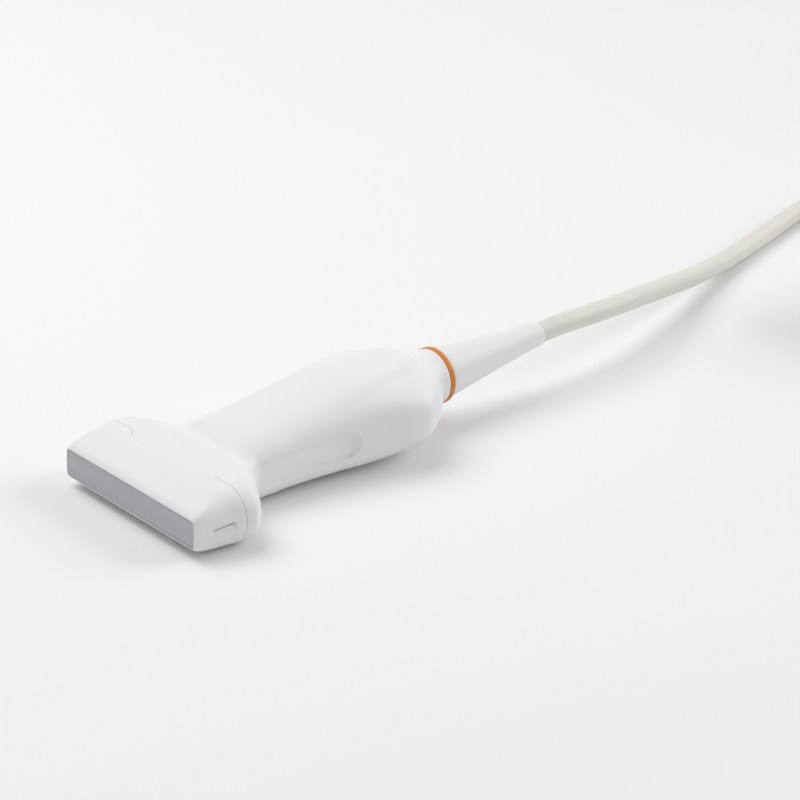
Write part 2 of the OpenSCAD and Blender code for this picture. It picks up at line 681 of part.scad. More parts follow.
// Tapered sleeve round the lead: a flange held inside the tail, a neck, and the long cone outside
module strain_relief() {
    groove = seal_centre_r - seal_r - seal_clear;
    color("white") seated() along(0) rotate_extrude($fn = 96) polygon(concat(
        [[relief_bore_r, relief_y0], [neck_r, relief_y0], [neck_r, relief_flange_y0],
         [flange_r, relief_flange_y0], [flange_r, lip_y], [neck_r, lip_y], [neck_r, seal_y - seal_r],
         [groove, seal_y - seal_r], [groove, seal_y + seal_r], [neck_r, seal_y + seal_r],
         [neck_r, tail_end_y], [ring_seat_r, tail_end_y], [ring_seat_r, ring_end_y]],
        relief_cone(relief_r, relief_tip_r, ring_end_y, relief_end_y)));
}

// ---- Lead ----
// How far the free lead starts inside a strain relief
bury = 3;
coil_at = [6, 340];
coil_w = coil_across * lead_d;
coil_h = coil_layers * lead_d;
coil_in_r = coil_d / 2 - coil_w / 2;

// Height of the lead's axis where it lies on the table
lead_z = lead_r + 0.05;

// Route from the strain relief: off the tip, down to the table and in a wide bend on to the coil
lead_route = concat(
    [on_axis(relief_end_y - bury), on_axis(relief_end_y + 4), on_axis(relief_end_y + 13)],
    [[-0.5, 103, 18.4], [-3, 119.5, 17.6], [-7.5, 139, 15.4], [-13, 158, 12.3], [-19, 177, 9],
     [-25.5, 197, 6.1], [-32, 218, 4.2], [-38, 238, 3.5], [-44, 259, lead_z], [-49.5, 279, lead_z],
     [-53, 296, lead_z], [-53.5, 313, lead_z], [-50, 330, lead_z], [-43.5, 345, lead_z],
     [-36.5, 355, lead_z], [-29, 363, lead_z]]);

// Route to the plug: up from the outer turn, half round the coil on top of it, and across
plug_at = [47, 251];
plug_relief_len = 28;
plug_inner_len = 14;
plug_lead_z = shroud_h + case_h / 2;
plug_tip_y = plug_at[1] + plug_l / 2 + plug_relief_len;
lead_top_z = coil_h + lead_r;
plug_route = [[27, 304, coil_h - 2.8], [13.5, 299.5, coil_h], [0, 299, coil_h + 2.6],
              [-14.5, 304, lead_top_z],
              [-26.5, 314.5, lead_top_z], [-33.5, 328, lead_top_z], [-35.5, 343.5, lead_top_z],
              [-31.5, 358, lead_top_z], [-22, 370.5, lead_top_z], [-8.5, 378.5, lead_top_z],
              [6.5, 380.5, lead_top_z], [21.5, 377, lead_top_z], [34, 368.5, lead_top_z + 0.3],
              [42.5, 356.5, lead_top_z + 1.5], [46.5, 343.5, plug_lead_z - 1.1],
              [plug_at[0], plug_tip_y + 14, plug_lead_z - 0.2], [plug_at[0], plug_tip_y + 7, plug_lead_z],
              [plug_at[0], plug_tip_y + 2, plug_lead_z], [plug_at[0], plug_tip_y - bury, plug_lead_z]];

module lead_tube(route) {
    color("ivory") loft(tube_rings(smooth_line(route, 2), lead_r, 10));
}
module lead() { lead_tube(lead_route); }
module lead_plug_end() { lead_tube(plug_route); }

// The stretches of the lead inside the two strain reliefs
module lead_inner_ends() {
    color("ivory") {
        seated() along(lead_start_y) cylinder(r = lead_r, h = relief_end_y - bury - lead_start_y, $fn = 48);
        translate([plug_at[0], plug_tip_y - bury, plug_lead_z]) rotate([90, 0, 0])
            cylinder(r = lead_r, h = plug_relief_len - bury + plug_inner_len, $fn = 48);
    }
}

// The wound turns, as the ring that they fill, let in below for the strap
module lead_coil() {
    color("ivory") translate([coil_at[0], coil_at[1], 0]) difference() {
        rotate_extrude($fn = 96) translate([coil_in_r, 0]) {
            translate([lead_r, 0]) square([coil_w - lead_d, coil_h]);
            translate([0, lead_r]) square([coil_w, coil_h - lead_d]);
            for (x = [lead_r, coil_w - lead_r], z = [lead_r, coil_h - lead_r])
                translate([x, z]) circle(lead_r, $fn = 32);
        }
        strap_sector() translate([coil_in_r - 1, -1]) square([coil_w + 2, 1 + tie_t]);
    }
}

// Strap round the turns at one place
tie_t = 0.9;
tie_span = 24;
tie_angle = 318;
module strap_sector() {
    rotate([0, 0, tie_angle]) rotate_extrude(angle = tie_span, $fn = 96) children();
}
module coil_tie() {
    color("dimgray") translate([coil_at[0], coil_at[1], 0]) strap_sector() difference() {
        translate([coil_in_r - tie_t, 0]) square([coil_w + 2 * tie_t, coil_h + tie_t]);
        translate([coil_in_r, tie_t]) square([coil_w, coil_h - tie_t]);
    }
}

// ---- Plug ----
// The plug stands on its shroud: the contacts face down and the lock lever is on top.
case_z0 = shroud_h;
case_z1 = shroud_h + case_h;
split_z = plug_lead_z;
// Margin of the case beside and beyond the shroud, which leaves room for the case screws
shroud_margin_w = 7;
shroud_margin_l = 9;
shroud_w = plug_w - 2 * shroud_margin_w;
shroud_l = plug_l - 2 * shroud_margin_l;
shroud_wall = 1.6;
shroud_corner = 4;
shroud_clear = 0.1;
shroud_lip = 2;
gasket_t = 0.6;
shroud_flange = 1.6;
floor_z = case_z0 + case_wall;
flange_z = floor_z + gasket_t;
contact_block_z = 5.8;
contact_top_z = flange_z + shroud_flange;
plug_board_z = contact_top_z + 1;
plug_board_t = 1.6;
plug_board_top = plug_board_z + plug_board_t;
shaft_hole_r = shaft_r + 1.6;
case_post_r = 3.4;
case_post_inset = 5.6;
screw_at = [for (x = [-1, 1], y = [-1, 1])
    [x * (plug_w / 2 - case_post_inset), y * (plug_l / 2 - case_post_inset)]];
case_screw_r = 1.25;
case_screw_head_r = 2.6;
case_screw_head_h = 2.4;
case_screw_z = case_z0 + 1.6;
case_screw_bite = 6;
relief_flange_r = 8;
relief_flange_t = 2;
relief_neck_r = relief_flange_r - 2;

module in_plug() {
    translate([plug_at[0], plug_at[1], 0]) children();
}

// Slab with round corners from height z0 to z1
module slab(w, l, r, z0, z1) {
    translate([0, 0, z0]) linear_extrude(z1 - z0) round_rect(w, l, r);
}

// Hollow in the rear wall of the case and the block inside it, for the strain relief and the lead
seat_block = 4.4;
seat_block_w = 2 * relief_flange_r + 6;
lead_clear = 0.3;
module relief_seat() {
    translate([0, plug_l / 2, plug_lead_z]) rotate([90, 0, 0]) {
        translate([0, 0, -1]) cylinder(r = relief_neck_r + lip_clear, h = case_wall + 1.5, $fn = 48);
        translate([0, 0, case_wall])
            cylinder(r = relief_flange_r + lip_clear, h = relief_flange_t + fit, $fn = 48);
        translate([0, 0, -1]) cylinder(r = lead_r + lead_clear, h = case_wall + seat_block + 2, $fn = 48);
    }
}

// Posts of a case half for the case screws, between heights z0 and z1
module case_posts(z0, z1) {
    for (p = screw_at) translate([p[0], p[1], z0]) cylinder(r = case_post_r, h = z1 - z0, $fn = 32);
}

module plug_cover_lower() {
    color("whitesmoke") in_plug() difference() {
        union() {
            difference() {
                slab(plug_w, plug_l, case_r, case_z0, split_z - seam_gap / 2);
                slab(plug_w - 2 * case_wall, plug_l - 2 * case_wall, case_r - case_wall, floor_z, split_z);
            }
            case_posts(case_z0, split_z - seam_gap / 2);
            translate([0, plug_l / 2 - case_wall - seat_block / 2, 0])
                slab(seat_block_w, seat_block, 1, floor_z, split_z - seam_gap / 2);
        }
        slab(shroud_w + 2 * shroud_clear, shroud_l + 2 * shroud_clear, shroud_corner, 0, floor_z + 1);
        relief_seat();
        for (p = screw_at) translate([p[0], p[1], 0]) {
            cylinder(r = case_screw_head_r + 0.2, h = case_screw_z + case_screw_head_h, $fn = 32);
            cylinder(r = case_screw_r + 0.35, h = case_z1, $fn = 32);
        }
    }
}

// The top of the case is thicker than its sides, and its edge is drawn in over top_r
case_top = case_wall + 0.6;
top_r = 3;
module plug_cover_upper() {
    color("whitesmoke") in_plug() difference() {
        union() {
            difference() {
                hull() {
                    slab(plug_w, plug_l, case_r, split_z + seam_gap / 2, case_z1 - top_r);
                    slab(plug_w - 0.6 * top_r, plug_l - 0.6 * top_r, case_r - 0.3 * top_r,
                         split_z, case_z1 - 0.3 * top_r);
                    slab(plug_w - 2 * top_r, plug_l - 2 * top_r, case_r - top_r, split_z, case_z1);
                }
                slab(plug_w - 2 * case_wall, plug_l - 2 * case_wall, case_r - case_wall,
                     split_z - 1, case_z1 - case_top);
            }
            intersection() {
                case_posts(split_z + seam_gap / 2, case_z1 - case_wall);
                slab(plug_w - 1, plug_l - 1, case_r, split_z, case_z1);
            }
            translate([0, plug_l / 2 - case_wall - seat_block / 2, 0])
                slab(seat_block_w, seat_block, 1, split_z + seam_gap / 2, case_z1 - case_wall);
        }
        relief_seat();
        for (p = screw_at) translate([p[0], p[1], split_z - 1])
            cylinder(r = case_screw_r + fit, h = case_screw_bite + 2, $fn = 32);
        translate([0, 0, split_z]) cylinder(r = bush_r + 0.02, h = case_h, $fn = 64);
    }
}

// Notches that let the flange and gasket of the shroud pass the posts of the case
module clear_of_posts() {
    for (p = screw_at) translate([p[0], p[1], floor_z - 1])
        cylinder(r = case_post_r + 0.2, h = case_h, $fn = 32);
}

// Metal shroud round the contacts, with a flange that lies inside the case
module plug_shroud() {
    color("silver") in_plug() difference() {
        union() {
            slab(shroud_w, shroud_l, shroud_corner, 0, contact_top_z);
            slab(shroud_w + 2 * shroud_lip, shroud_l + 2 * shroud_lip, shroud_corner,
                 flange_z, contact_top_z);
        }
        clear_of_posts();
        slab(shroud_w - 2 * shroud_wall, shroud_l - 2 * shroud_wall, shroud_corner - shroud_wall,
             -1, contact_top_z + 1);
    }
}

module shroud_gasket() {
    color("dimgray") in_plug() difference() {
        slab(shroud_w + 1.7 * shroud_lip, shroud_l + 1.7 * shroud_lip, shroud_corner, floor_z, flange_z);
        slab(shroud_w + shroud_clear, shroud_l + shroud_clear, shroud_corner, floor_z - 1, flange_z + 1);
        clear_of_posts();
    }
}

pin_r = 0.5;
pin_hole_clear = 0.03;
pin_stand = 0.5;
pin_pitch = 4.4;
pin_row_pitch = 3.6;
pin_row_x = shaft_hole_r + 3;
pin_at = [for (s = [-1, 1], i = [0 : pin_rows - 1], j = [0 : pins_per_row - 1])
    [s * (pin_row_x + i * pin_row_pitch), (j - (pins_per_row - 1) / 2) * pin_pitch]];

module contact_block() {
    color("darkslategray") in_plug() difference() {
        slab(shroud_w - 2 * (shroud_wall + shroud_clear), shroud_l - 2 * (shroud_wall + shroud_clear),
             shroud_corner - shroud_wall, contact_block_z, contact_top_z);
        cylinder(r = shaft_hole_r, h = case_z1, $fn = 48);
        for (p = pin_at) translate([p[0], p[1], 0])
            cylinder(r = pin_r + pin_hole_clear, h = case_z1, $fn = 16);
    }
}

module contact_pins() {
    color("gold") in_plug() for (p = pin_at)
        translate([p[0], p[1], contact_block_z - pin_stand])
            cylinder(r = pin_r, h = plug_board_z - contact_block_z + pin_stand, $fn = 16);
}

module plug_board() {
    color("darkgreen") in_plug() difference() {
        slab(shroud_w, shroud_l - 6, 2, plug_board_z, plug_board_top);
        cylinder(r = shaft_hole_r, h = case_z1, $fn = 48);
    }
}

// Fine wires from the end of the lead down to the board
wire_lead_pitch = 1.2;
wire_board_pitch = 4;
module plug_harness() {
    end_y = plug_l / 2 - plug_inner_len;
    z = plug_board_top + fan_r;
    color("lightsteelblue") in_plug() for (i = [-2 : 2]) {
        x0 = i * wire_lead_pitch;
        x1 = i * wire_board_pitch;
        loft(tube_rings(smooth_line([[x0, end_y, plug_lead_z], [x0, end_y - 1.5, plug_lead_z],
            [x0, end_y - 3, plug_lead_z], [mix(x0, x1, 0.65), end_y - 8, z + 1],
            [x1, end_y - 12, z], [x1, end_y - 15, z]], 2), fan_r, 6));
    }
}

// Saddle that holds the lead down on the lower case half
clamp_y = plug_l / 2 - 9.5;
clamp_screw_x = 8;
clamp_screw_r = 1;
clamp_wall = 1.4;
clamp_t = 1.8;
clamp_len = 5;
clamp_ear = 2.6;
// The clamp stands on the board with a foot as wide as the lead
module lead_clamp() {
    color("silver") in_plug() difference() {
        translate([0, clamp_y, plug_lead_z]) rotate([90, 0, 0])
            linear_extrude(clamp_len, center = true) union() {
                circle(lead_r + clamp_wall, $fn = 48);
                square([2 * (clamp_screw_x + clamp_ear), clamp_t], center = true);
                translate([-lead_r, plug_board_top + fit - plug_lead_z])
                    square([lead_d, plug_lead_z - plug_board_top - fit]);
            }
        translate([0, plug_l, plug_lead_z]) rotate([90, 0, 0])
            cylinder(r = relief_bore_r, h = 2 * plug_l, $fn = 48);
        for (x = [-1, 1]) translate([x * clamp_screw_x, clamp_y, 0])
            cylinder(r = clamp_screw_r + 0.1, h = case_z1, $fn = 24);
    }
}

module lead_clamp_screws() {
    foot_z = plug_board_top + 0.1;
    seat_z = plug_lead_z + clamp_t / 2;
    color("silver") in_plug() for (x = [-1, 1]) translate([x * clamp_screw_x, clamp_y, 0]) {
        translate([0, 0, seat_z]) cylinder(r = 2 * clamp_screw_r, h = 1.4, $fn = 24);
        translate([0, 0, foot_z]) cylinder(r = clamp_screw_r, h = seat_z - foot_z, $fn = 24);
    }
}

// Hexagon socket in the head of a case screw and of the lever's screw
hex_r = 1.4;
hex_depth = 1.2;
module cover_screws() {
    color("silver") in_plug() for (p = screw_at) translate([p[0], p[1], case_screw_z]) {
        difference() {
            cylinder(r = case_screw_head_r, h = case_screw_head_h, $fn = 32);
            translate([0, 0, -1]) cylinder(r = hex_r, h = 1 + hex_depth, $fn = 6);
        }
        cylinder(r = case_screw_r, h = split_z + case_screw_bite - case_screw_z, $fn = 32);
    }
}

module plug_strain_relief() {
    out = plug_l / 2;
    inside = out - case_wall;
    collar_r = relief_neck_r + 1;
    collar_y = out + 0.4;
    color("whitesmoke") translate([plug_at[0], plug_at[1], plug_lead_z]) rotate([-90, 0, 0])
        rotate_extrude($fn = 64) polygon(concat(
            [[relief_bore_r, inside - relief_flange_t], [relief_flange_r, inside - relief_flange_t],
             [relief_flange_r, inside], [relief_neck_r, inside], [relief_neck_r, collar_y],
             [collar_r, collar_y]],
            relief_cone(collar_r, relief_tip_r, collar_y + 2, out + plug_relief_len)));
}

// ---- Lock ----
bush_r = shaft_r + 2;
bush_flange_r = shaft_r + 4;
bush_flange_t = 2;
bush_flange_z = case_z1 - case_top - bush_flange_t;
bush_stand = 0.2;
clip_t = 1;
clip_gap = 0.2;
clip_z = bush_flange_z - clip_gap - clip_t;
clip_groove = 0.7;
clip_slot_w = 3.2;
lever_z = case_z1 + 0.5;
lever_h = 8;
lever_wing_w = 9;
hub_r = 11;
hub_chamfer = 2;
shaft_top_z = lever_z + lever_h - 2.5;
thread_r = 1.3;
thread_depth = 7;
key_l = 13;
key_w = 3;
key_h = 2.6;
key_z = 1;
flat_depth = 1.2;
lever_screw_r = 2.8;
lever_screw_head = 1.6;
lever_screw_len = 6.2;
lever_screw_z = lever_z + lever_h - 1.65;

module shaft_bush() {
    color("goldenrod") in_plug() difference() {
        union() {
            translate([0, 0, bush_flange_z])
                cylinder(r = bush_r, h = case_z1 + bush_stand - bush_flange_z, $fn = 64);
            translate([0, 0, bush_flange_z]) cylinder(r = bush_flange_r, h = bush_flange_t, $fn = 64);
        }
        cylinder(r = shaft_r + fit, h = 2 * case_z1, $fn = 64);
    }
}

// Shaft with the locking key at its foot, a groove for the clip and a flat for the lever
module lock_shaft() {
    color("silver") in_plug() difference() {
        union() {
            translate([0, 0, key_z]) cylinder(r = shaft_r, h = shaft_top_z - key_z, $fn = 64);
            translate([-key_l / 2, -key_w / 2, key_z]) cube([key_l, key_w, key_h]);
        }
        translate([0, 0, clip_z - 0.05]) difference() {
            cylinder(r = shaft_r + 1, h = clip_t + 0.1, $fn = 64);
            cylinder(r = shaft_r - clip_groove, h = clip_t + 0.1, $fn = 64);
        }
        translate([-shaft_r, shaft_r - flat_depth, lever_z]) cube([2 * shaft_r, shaft_r, lever_h]);
        translate([0, 0, shaft_top_z - thread_depth]) cylinder(r = thread_r, h = thread_depth + 1, $fn = 32);
    }
}

// Spring clip in the groove of the shaft, under the bush
module shaft_clip() {
    color("dimgray") in_plug() translate([0, 0, clip_z]) difference() {
        cylinder(r = shaft_r + 2.6, h = clip_t, $fn = 48);
        translate([0, 0, -1]) cylinder(r = shaft_r - clip_groove + fit, h = clip_t + 2, $fn = 48);
        translate([-clip_slot_w / 2, 0, -1]) cube([clip_slot_w, shaft_r + 4, clip_t + 2]);
    }
}

// Wing lever that turns the shaft
module lock_lever() {
    half_h = lever_h / 2;
    color("lightgray") in_plug() difference() {
        union() {
            translate([0, 0, lever_z]) cylinder(r = hub_r, h = half_h, $fn = 64);
            translate([0, 0, lever_z + half_h])
                cylinder(r1 = hub_r, r2 = hub_r - hub_chamfer, h = hub_chamfer, $fn = 64);
            translate([0, 0, lever_z]) linear_extrude(lever_h) {
                square([lever_wing_w, 2 * lever_len - lever_wing_w], center = true);
                for (s = [-1, 1]) translate([0, s * (lever_len - lever_wing_w / 2)])
                    circle(lever_wing_w / 2, $fn = 48);
            }
        }
        difference() {
            translate([0, 0, lever_z - 1]) cylinder(r = shaft_r + 0.03, h = lever_h - 1.5, $fn = 64);
            translate([-shaft_r, shaft_r - flat_depth + 0.03, 0]) cube([2 * shaft_r, shaft_r, case_z1 * 2]);
        }
        cylinder(r = thread_r + 0.3, h = 3 * case_z1, $fn = 32);
        translate([0, 0, lever_screw_z - 0.05]) cylinder(r = lever_screw_r + 0.2, h = lever_h, $fn = 32);
    }
}

module lever_screw() {
    color("silver") in_plug() difference() {
        union() {
            translate([0, 0, lever_screw_z]) cylinder(r = lever_screw_r, h = lever_screw_head, $fn = 32);
            translate([0, 0, lever_screw_z - lever_screw_len])
                cylinder(r = thread_r - 0.05, h = lever_screw_len + 1, $fn = 32);
        }
        translate([0, 0, lever_screw_z + lever_screw_head - hex_depth])
            cylinder(r = hex_r, h = hex_depth + 1, $fn = 6);
    }
}

acoustic_lens();
matching_layer();
piezo_elements();
backing_block();
array_frame();
flex_circuit_upper();
flex_circuit_lower();
probe_board();
flex_sockets();
tuning_coils();
board_screws();
coax_fanout();
shield_sleeve();
nose_cap();
nose_seal();
housing_upper();
housing_lower();
crimp_ferrule();
tail_seal();
colour_ring();
strain_relief();
lead_inner_ends();
lead();
lead_coil();
coil_tie();
lead_plug_end();
plug_strain_relief();
plug_cover_upper();
plug_cover_lower();
plug_shroud();
shroud_gasket();
contact_block();
contact_pins();
plug_board();
plug_harness();
lead_clamp();
lead_clamp_screws();
cover_screws();
shaft_bush();
lock_shaft();
shaft_clip();
lock_lever();
lever_screw();
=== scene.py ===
import json
import math

import bmesh
import bpy
from mathutils import Euler, Matrix, Vector


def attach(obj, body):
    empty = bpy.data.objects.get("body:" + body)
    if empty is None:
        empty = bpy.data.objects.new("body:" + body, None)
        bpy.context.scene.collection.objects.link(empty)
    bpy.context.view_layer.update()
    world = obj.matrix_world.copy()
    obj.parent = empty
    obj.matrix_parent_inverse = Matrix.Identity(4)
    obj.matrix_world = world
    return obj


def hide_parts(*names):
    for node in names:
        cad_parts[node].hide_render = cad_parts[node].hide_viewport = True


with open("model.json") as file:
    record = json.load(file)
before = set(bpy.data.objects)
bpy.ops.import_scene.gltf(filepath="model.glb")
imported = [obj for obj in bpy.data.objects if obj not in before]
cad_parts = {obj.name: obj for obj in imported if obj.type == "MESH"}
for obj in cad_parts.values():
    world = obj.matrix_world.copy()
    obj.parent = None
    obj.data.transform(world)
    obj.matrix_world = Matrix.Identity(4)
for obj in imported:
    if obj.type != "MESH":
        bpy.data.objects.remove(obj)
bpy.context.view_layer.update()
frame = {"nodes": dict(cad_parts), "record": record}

# Sizes and places are written in millimetres, and times mm they are in metres.
mm = 0.001


def mix(a, b, u):
    return a + (b - a) * u


def clamp01(u):
    return min(max(u, 0), 1)


def ease(u):
    u = clamp01(u)
    return u * u * (3 - 2 * u)


# ---- Camera ----
camera_at = Vector((499.1, -503.83, 340.34)) * mm
camera_turn = (65.453, -5.038, 45.797)
focal_length, sensor_width = 121.5, 36


def add_camera():
    data = bpy.data.cameras.new("camera")
    data.lens = focal_length
    data.sensor_width = sensor_width
    camera = bpy.data.objects.new("camera", data)
    camera.location = camera_at
    camera.rotation_euler = Euler([math.radians(a) for a in camera_turn])
    bpy.context.scene.collection.objects.link(camera)
    bpy.context.scene.camera = camera


add_camera()

# ---- Lead ----
lead_r = 3.3
lead_z = 3.35
coil_at = Vector((6, 340, 0))
coil_r = 41.6
coil_layer = 2 * lead_r
# The place of each wound turn as (rows inwards, layers up). The last one is only half a turn.
coil_turns = [(0, 0), (1, 0), (2, 0), (2, 1), (1, 1), (0, 1)]
coil_steps = 24
wind_from = math.radians(146.7)
cross_over = math.radians(120)
seat_pitch = math.radians(3.844)
relief_tip = Vector((0, 80.19, 18.45))
lead_in = (-3, 3, 9)

# Points of the lead's middle line before and after the coil, in millimetres.
to_coil = [(-0.8, 103, 18.8), (-3, 119.5, 17.7), (-7.5, 139, 15.4), (-13, 158, 12.3), (-19, 177, 9),
           (-25.5, 197, 6.1), (-32, 218, 4.2), (-38, 238, 3.5), (-44, 259, lead_z), (-49.5, 279, lead_z),
           (-53, 296, lead_z), (-53.5, 313, lead_z), (-50, 330, lead_z), (-43.5, 345, lead_z),
           (-36.5, 355, lead_z), (-29, 363, lead_z)]
to_plug = [(27, 304, 10.4), (13.5, 299.5, 13.2), (0, 299, 15.8), (-14.5, 304, 16.5), (-26.5, 314.5, 16.5),
           (-33.5, 328, 16.5), (-35.5, 343.5, 16.5), (-31.5, 358, 16.5), (-22, 370.5, 16.5),
           (-8.5, 378.5, 16.5), (6.5, 380.5, 16.5), (21.5, 377, 16.5), (34, 368.5, 16.8), (42.5, 356.5, 18),
           (46.5, 343.5, 19.4), (47, 332, 20.3), (47, 325, 20.5), (47, 320, 20.5), (47, 315, 20.5)]


def coil_point(turn, share):
    """A point of the wound turns. In the last part of each turn the lead crosses to its next place: late in
    the lower layer, early in the upper one and midway where it climbs, so that no two leads meet."""
    place = coil_turns[turn]
    after = coil_turns[min(turn + 1, len(coil_turns) - 1)]
    cross = 1 - (1 - share) * 2 * math.pi / cross_over
    if after[1] != place[1]:
        start, end = 0.3, 0.7
    elif place[1] == 0:
        start, end = 0.55, 1
    else:
        start, end = 0, 0.45
    u = ease((cross - start) / (end - start))
    row, layer = (mix(a, b, u) for a, b in zip(place, after))
    angle = wind_from - (turn + share) * 2 * math.pi
    reach = coil_r - row * coil_layer
    return coil_at + Vector((reach * math.cos(angle), reach * math.sin(angle), lead_r + layer * coil_layer))


def lead_points():
    """Middle line of the whole lead, which leaves the strain relief straight along its axis."""
    out = Vector((0, math.cos(seat_pitch), math.sin(seat_pitch)))
    start = [relief_tip + out * d for d in lead_in]
    wound = [coil_point(t, s / coil_steps) for t in range(len(coil_turns)) for s in range(coil_steps)]
    wound = wound[1:1 + len(wound) - coil_steps // 2]
    points = start + [Vector(p) for p in to_coil] + wound + [Vector(p) for p in to_plug]
    return [p * mm for p in points]


def add_cable(points):
    data = bpy.data.curves.new("cable", "CURVE")
    data.dimensions = "3D"
    data.bevel_depth = 1
    data.bevel_resolution = 8
    data.use_fill_caps = True
    data.resolution_u = 8
    spline = data.splines.new("BEZIER")
    spline.bezier_points.add(len(points) - 1)
    for bp, p in zip(spline.bezier_points, points):
        bp.co = p
        bp.radius = lead_r * mm
        bp.handle_left_type = bp.handle_right_type = "AUTO"
    cable = bpy.data.objects.new("cable", data)
    bpy.context.scene.collection.objects.link(cable)
    return cable


cable = add_cable(lead_points())

# ---- Modelling helpers ----
def deselect():
    for piece in bpy.context.selected_objects:
        piece.select_set(False)


def only(piece):
    deselect()
    piece.select_set(True)
    bpy.context.view_layer.objects.active = piece


def started(name):
    """The primitive that was just added, named and alone in the selection."""
    piece = bpy.context.object
    piece.name = piece.data.name = name
    only(piece)
    return piece


def edit(piece, kind="FACE"):
    only(piece)
    bpy.ops.object.mode_set(mode="EDIT")
    bpy.ops.mesh.select_mode(type=kind)
    bpy.ops.mesh.select_all(action="DESELECT")


def done():
    bpy.ops.object.mode_set(mode="OBJECT")


def pick(piece, test, kind="FACE"):
    """In edit mode, selects the faces, edges or vertices whose middle passes a test."""
    bpy.ops.mesh.select_mode(type=kind)
    bpy.ops.mesh.select_all(action="DESELECT")
    bm = bmesh.from_edit_mesh(piece.data)
    if kind == "VERT":
        for v in bm.verts:
            v.select_set(test(v.co))
    elif kind == "FACE":
        for f in bm.faces:
            f.select_set(test(f.calc_center_median(), f.normal))
    else:
        for e in bm.edges:
            e.select_set(test(e))
    bm.select_flush_mode()
    bmesh.update_edit_mesh(piece.data)


def middle(edge):
    return (edge.verts[0].co + edge.verts[1].co) / 2


def is_sharp(edge, degrees=40):
    return len(edge.link_faces) == 2 and edge.calc_face_angle() > math.radians(degrees)


def is_upright(edge):
    a, b = (v.co for v in edge.verts)
    return abs(a.z - b.z) > 10 * (abs(a.x - b.x) + abs(a.y - b.y))


def bevel_edges(piece, test, width, segments):
    edit(piece, "EDGE")
    pick(piece, test, "EDGE")
    bpy.ops.mesh.bevel(offset=width * mm, segments=segments, affect="EDGES")
    done()


def finish_with(piece, kind, **settings):
    only(piece)
    modifier = piece.modifiers.new(kind.lower(), kind)
    for name, value in settings.items():
        setattr(modifier, name, value)
    bpy.ops.object.modifier_apply(modifier=modifier.name)


def cut_out(piece, cutter, solver="MANIFOLD"):
    finish_with(piece, "BOOLEAN", operation="DIFFERENCE", solver=solver, object=cutter)
    bpy.data.objects.remove(cutter)


def settle(piece, place=None):
    """Puts a piece in its place, with the place in its mesh."""
    if place is not None:
        piece.matrix_world = place
    only(piece)
    bpy.ops.object.transform_apply(location=True, rotation=True, scale=True)
    return piece


def smooth(piece, degrees=35):
    only(piece)
    bpy.ops.object.shade_smooth_by_angle(angle=math.radians(degrees))


def outward(piece):
    edit(piece)
    bpy.ops.mesh.select_all(action="SELECT")
    bpy.ops.mesh.remove_doubles(threshold=0.002 * mm)
    bpy.ops.mesh.normals_make_consistent(inside=False)
    done()


def join(piece, *others):
    deselect()
    for other in others:
        other.select_set(True)
    piece.select_set(True)
    bpy.context.view_layer.objects.active = piece
    bpy.ops.object.join()
    return piece


def box(name, size, at):
    bpy.ops.mesh.primitive_cube_add(size=1, location=Vector(at) * mm)
    piece = started(name)
    piece.scale = Vector(size) * mm
    return settle(piece)


def shift(piece, test, by):
    """Moves the vertices that pass a test."""
    edit(piece, "VERT")
    pick(piece, test, "VERT")
    bpy.ops.transform.translate(value=tuple(d * mm for d in by))
    done()


def rod(name, r, z0, z1, at=(0, 0), sides=64):
    bpy.ops.mesh.primitive_cylinder_add(vertices=sides, radius=r * mm, depth=(z1 - z0) * mm,
                                        location=Vector((at[0], at[1], (z0 + z1) / 2)) * mm)
    return settle(started(name))


def turned(name, profile, sides=128):
    """A turned piece: a circle drawn on ring by ring through (radius, height) pairs and back to its start."""
    r, z = profile[0]
    bpy.ops.mesh.primitive_circle_add(vertices=sides, radius=r * mm, location=(0, 0, z * mm))
    piece = settle(started(name))
    edit(piece, "EDGE")
    bpy.ops.mesh.select_all(action="SELECT")
    for next_r, next_z in profile[1:] + profile[:1]:
        bpy.ops.mesh.extrude_edges_move(TRANSFORM_OT_translate={"value": (0, 0, (next_z - z) * mm)})
        bpy.ops.transform.resize(value=(next_r / r, next_r / r, 1), center_override=(0, 0, next_z * mm))
        r, z = next_r, next_z
    done()
    outward(piece)
    return piece


def sheet(name, columns, rows, place):
    """A flat grid laid out over a form: place gives the point for each column and row."""
    bpy.ops.mesh.primitive_grid_add(x_subdivisions=columns, y_subdivisions=rows, size=2)
    piece = started(name)
    for v in piece.data.vertices:
        v.co = Vector(place(round((v.co.x + 1) / 2 * columns), round((v.co.y + 1) / 2 * rows))) * mm
    return piece


# ---- Form of the handpiece, on its own axis: X across, Y from the lens back, Z up ----
# Lens, and the nose's rim round it
lens_w, lens_h, lens_depth, rim = 54, 8.1, 2.6, 0.45
# Head, shoulder and waist
head_half_w, head_half_t, head_len, head_corner = 31.3, 8.6, 18.5, 8
shoulder_len, collar_step = 15.5, 0.9
waist_half_w, waist_half_t = 15.2, 9.8
waist_y = head_len + shoulder_len
# Grip, the dome that closes it, and the tail
swell_half_w, belly_half_t, belly_y = 21, 12.8, 78
grip_corner, belly_power = 8, 2.8
dome_y, dome_len, dome_drop = 110, 16.5, 0.9
swell_y = dome_y - dome_len
tail_r, tail_end_y, fillet = 8.6, 114.7, 0.45
# Wall, and the seam between nose and grip with its two steps
wall, seam_gap = 2, 0.12
seam_y, seam_side_y, step_half_w, step_run, seam_fade = 12.2, 15.4, 14.2, 2.8, 9.5
# Thumb rest, and the ridges that run on from its rim
hood_half_w, hood_h, hood_len, hood_edge, hood_sink = 8, 1.3, 68, 3.5, 0.35
hood_end_y = dome_y - 5.5
ridge_half_w, ridge_edge, ridge_run, ridge_share = 14.5, 5.5, 55, 0.85
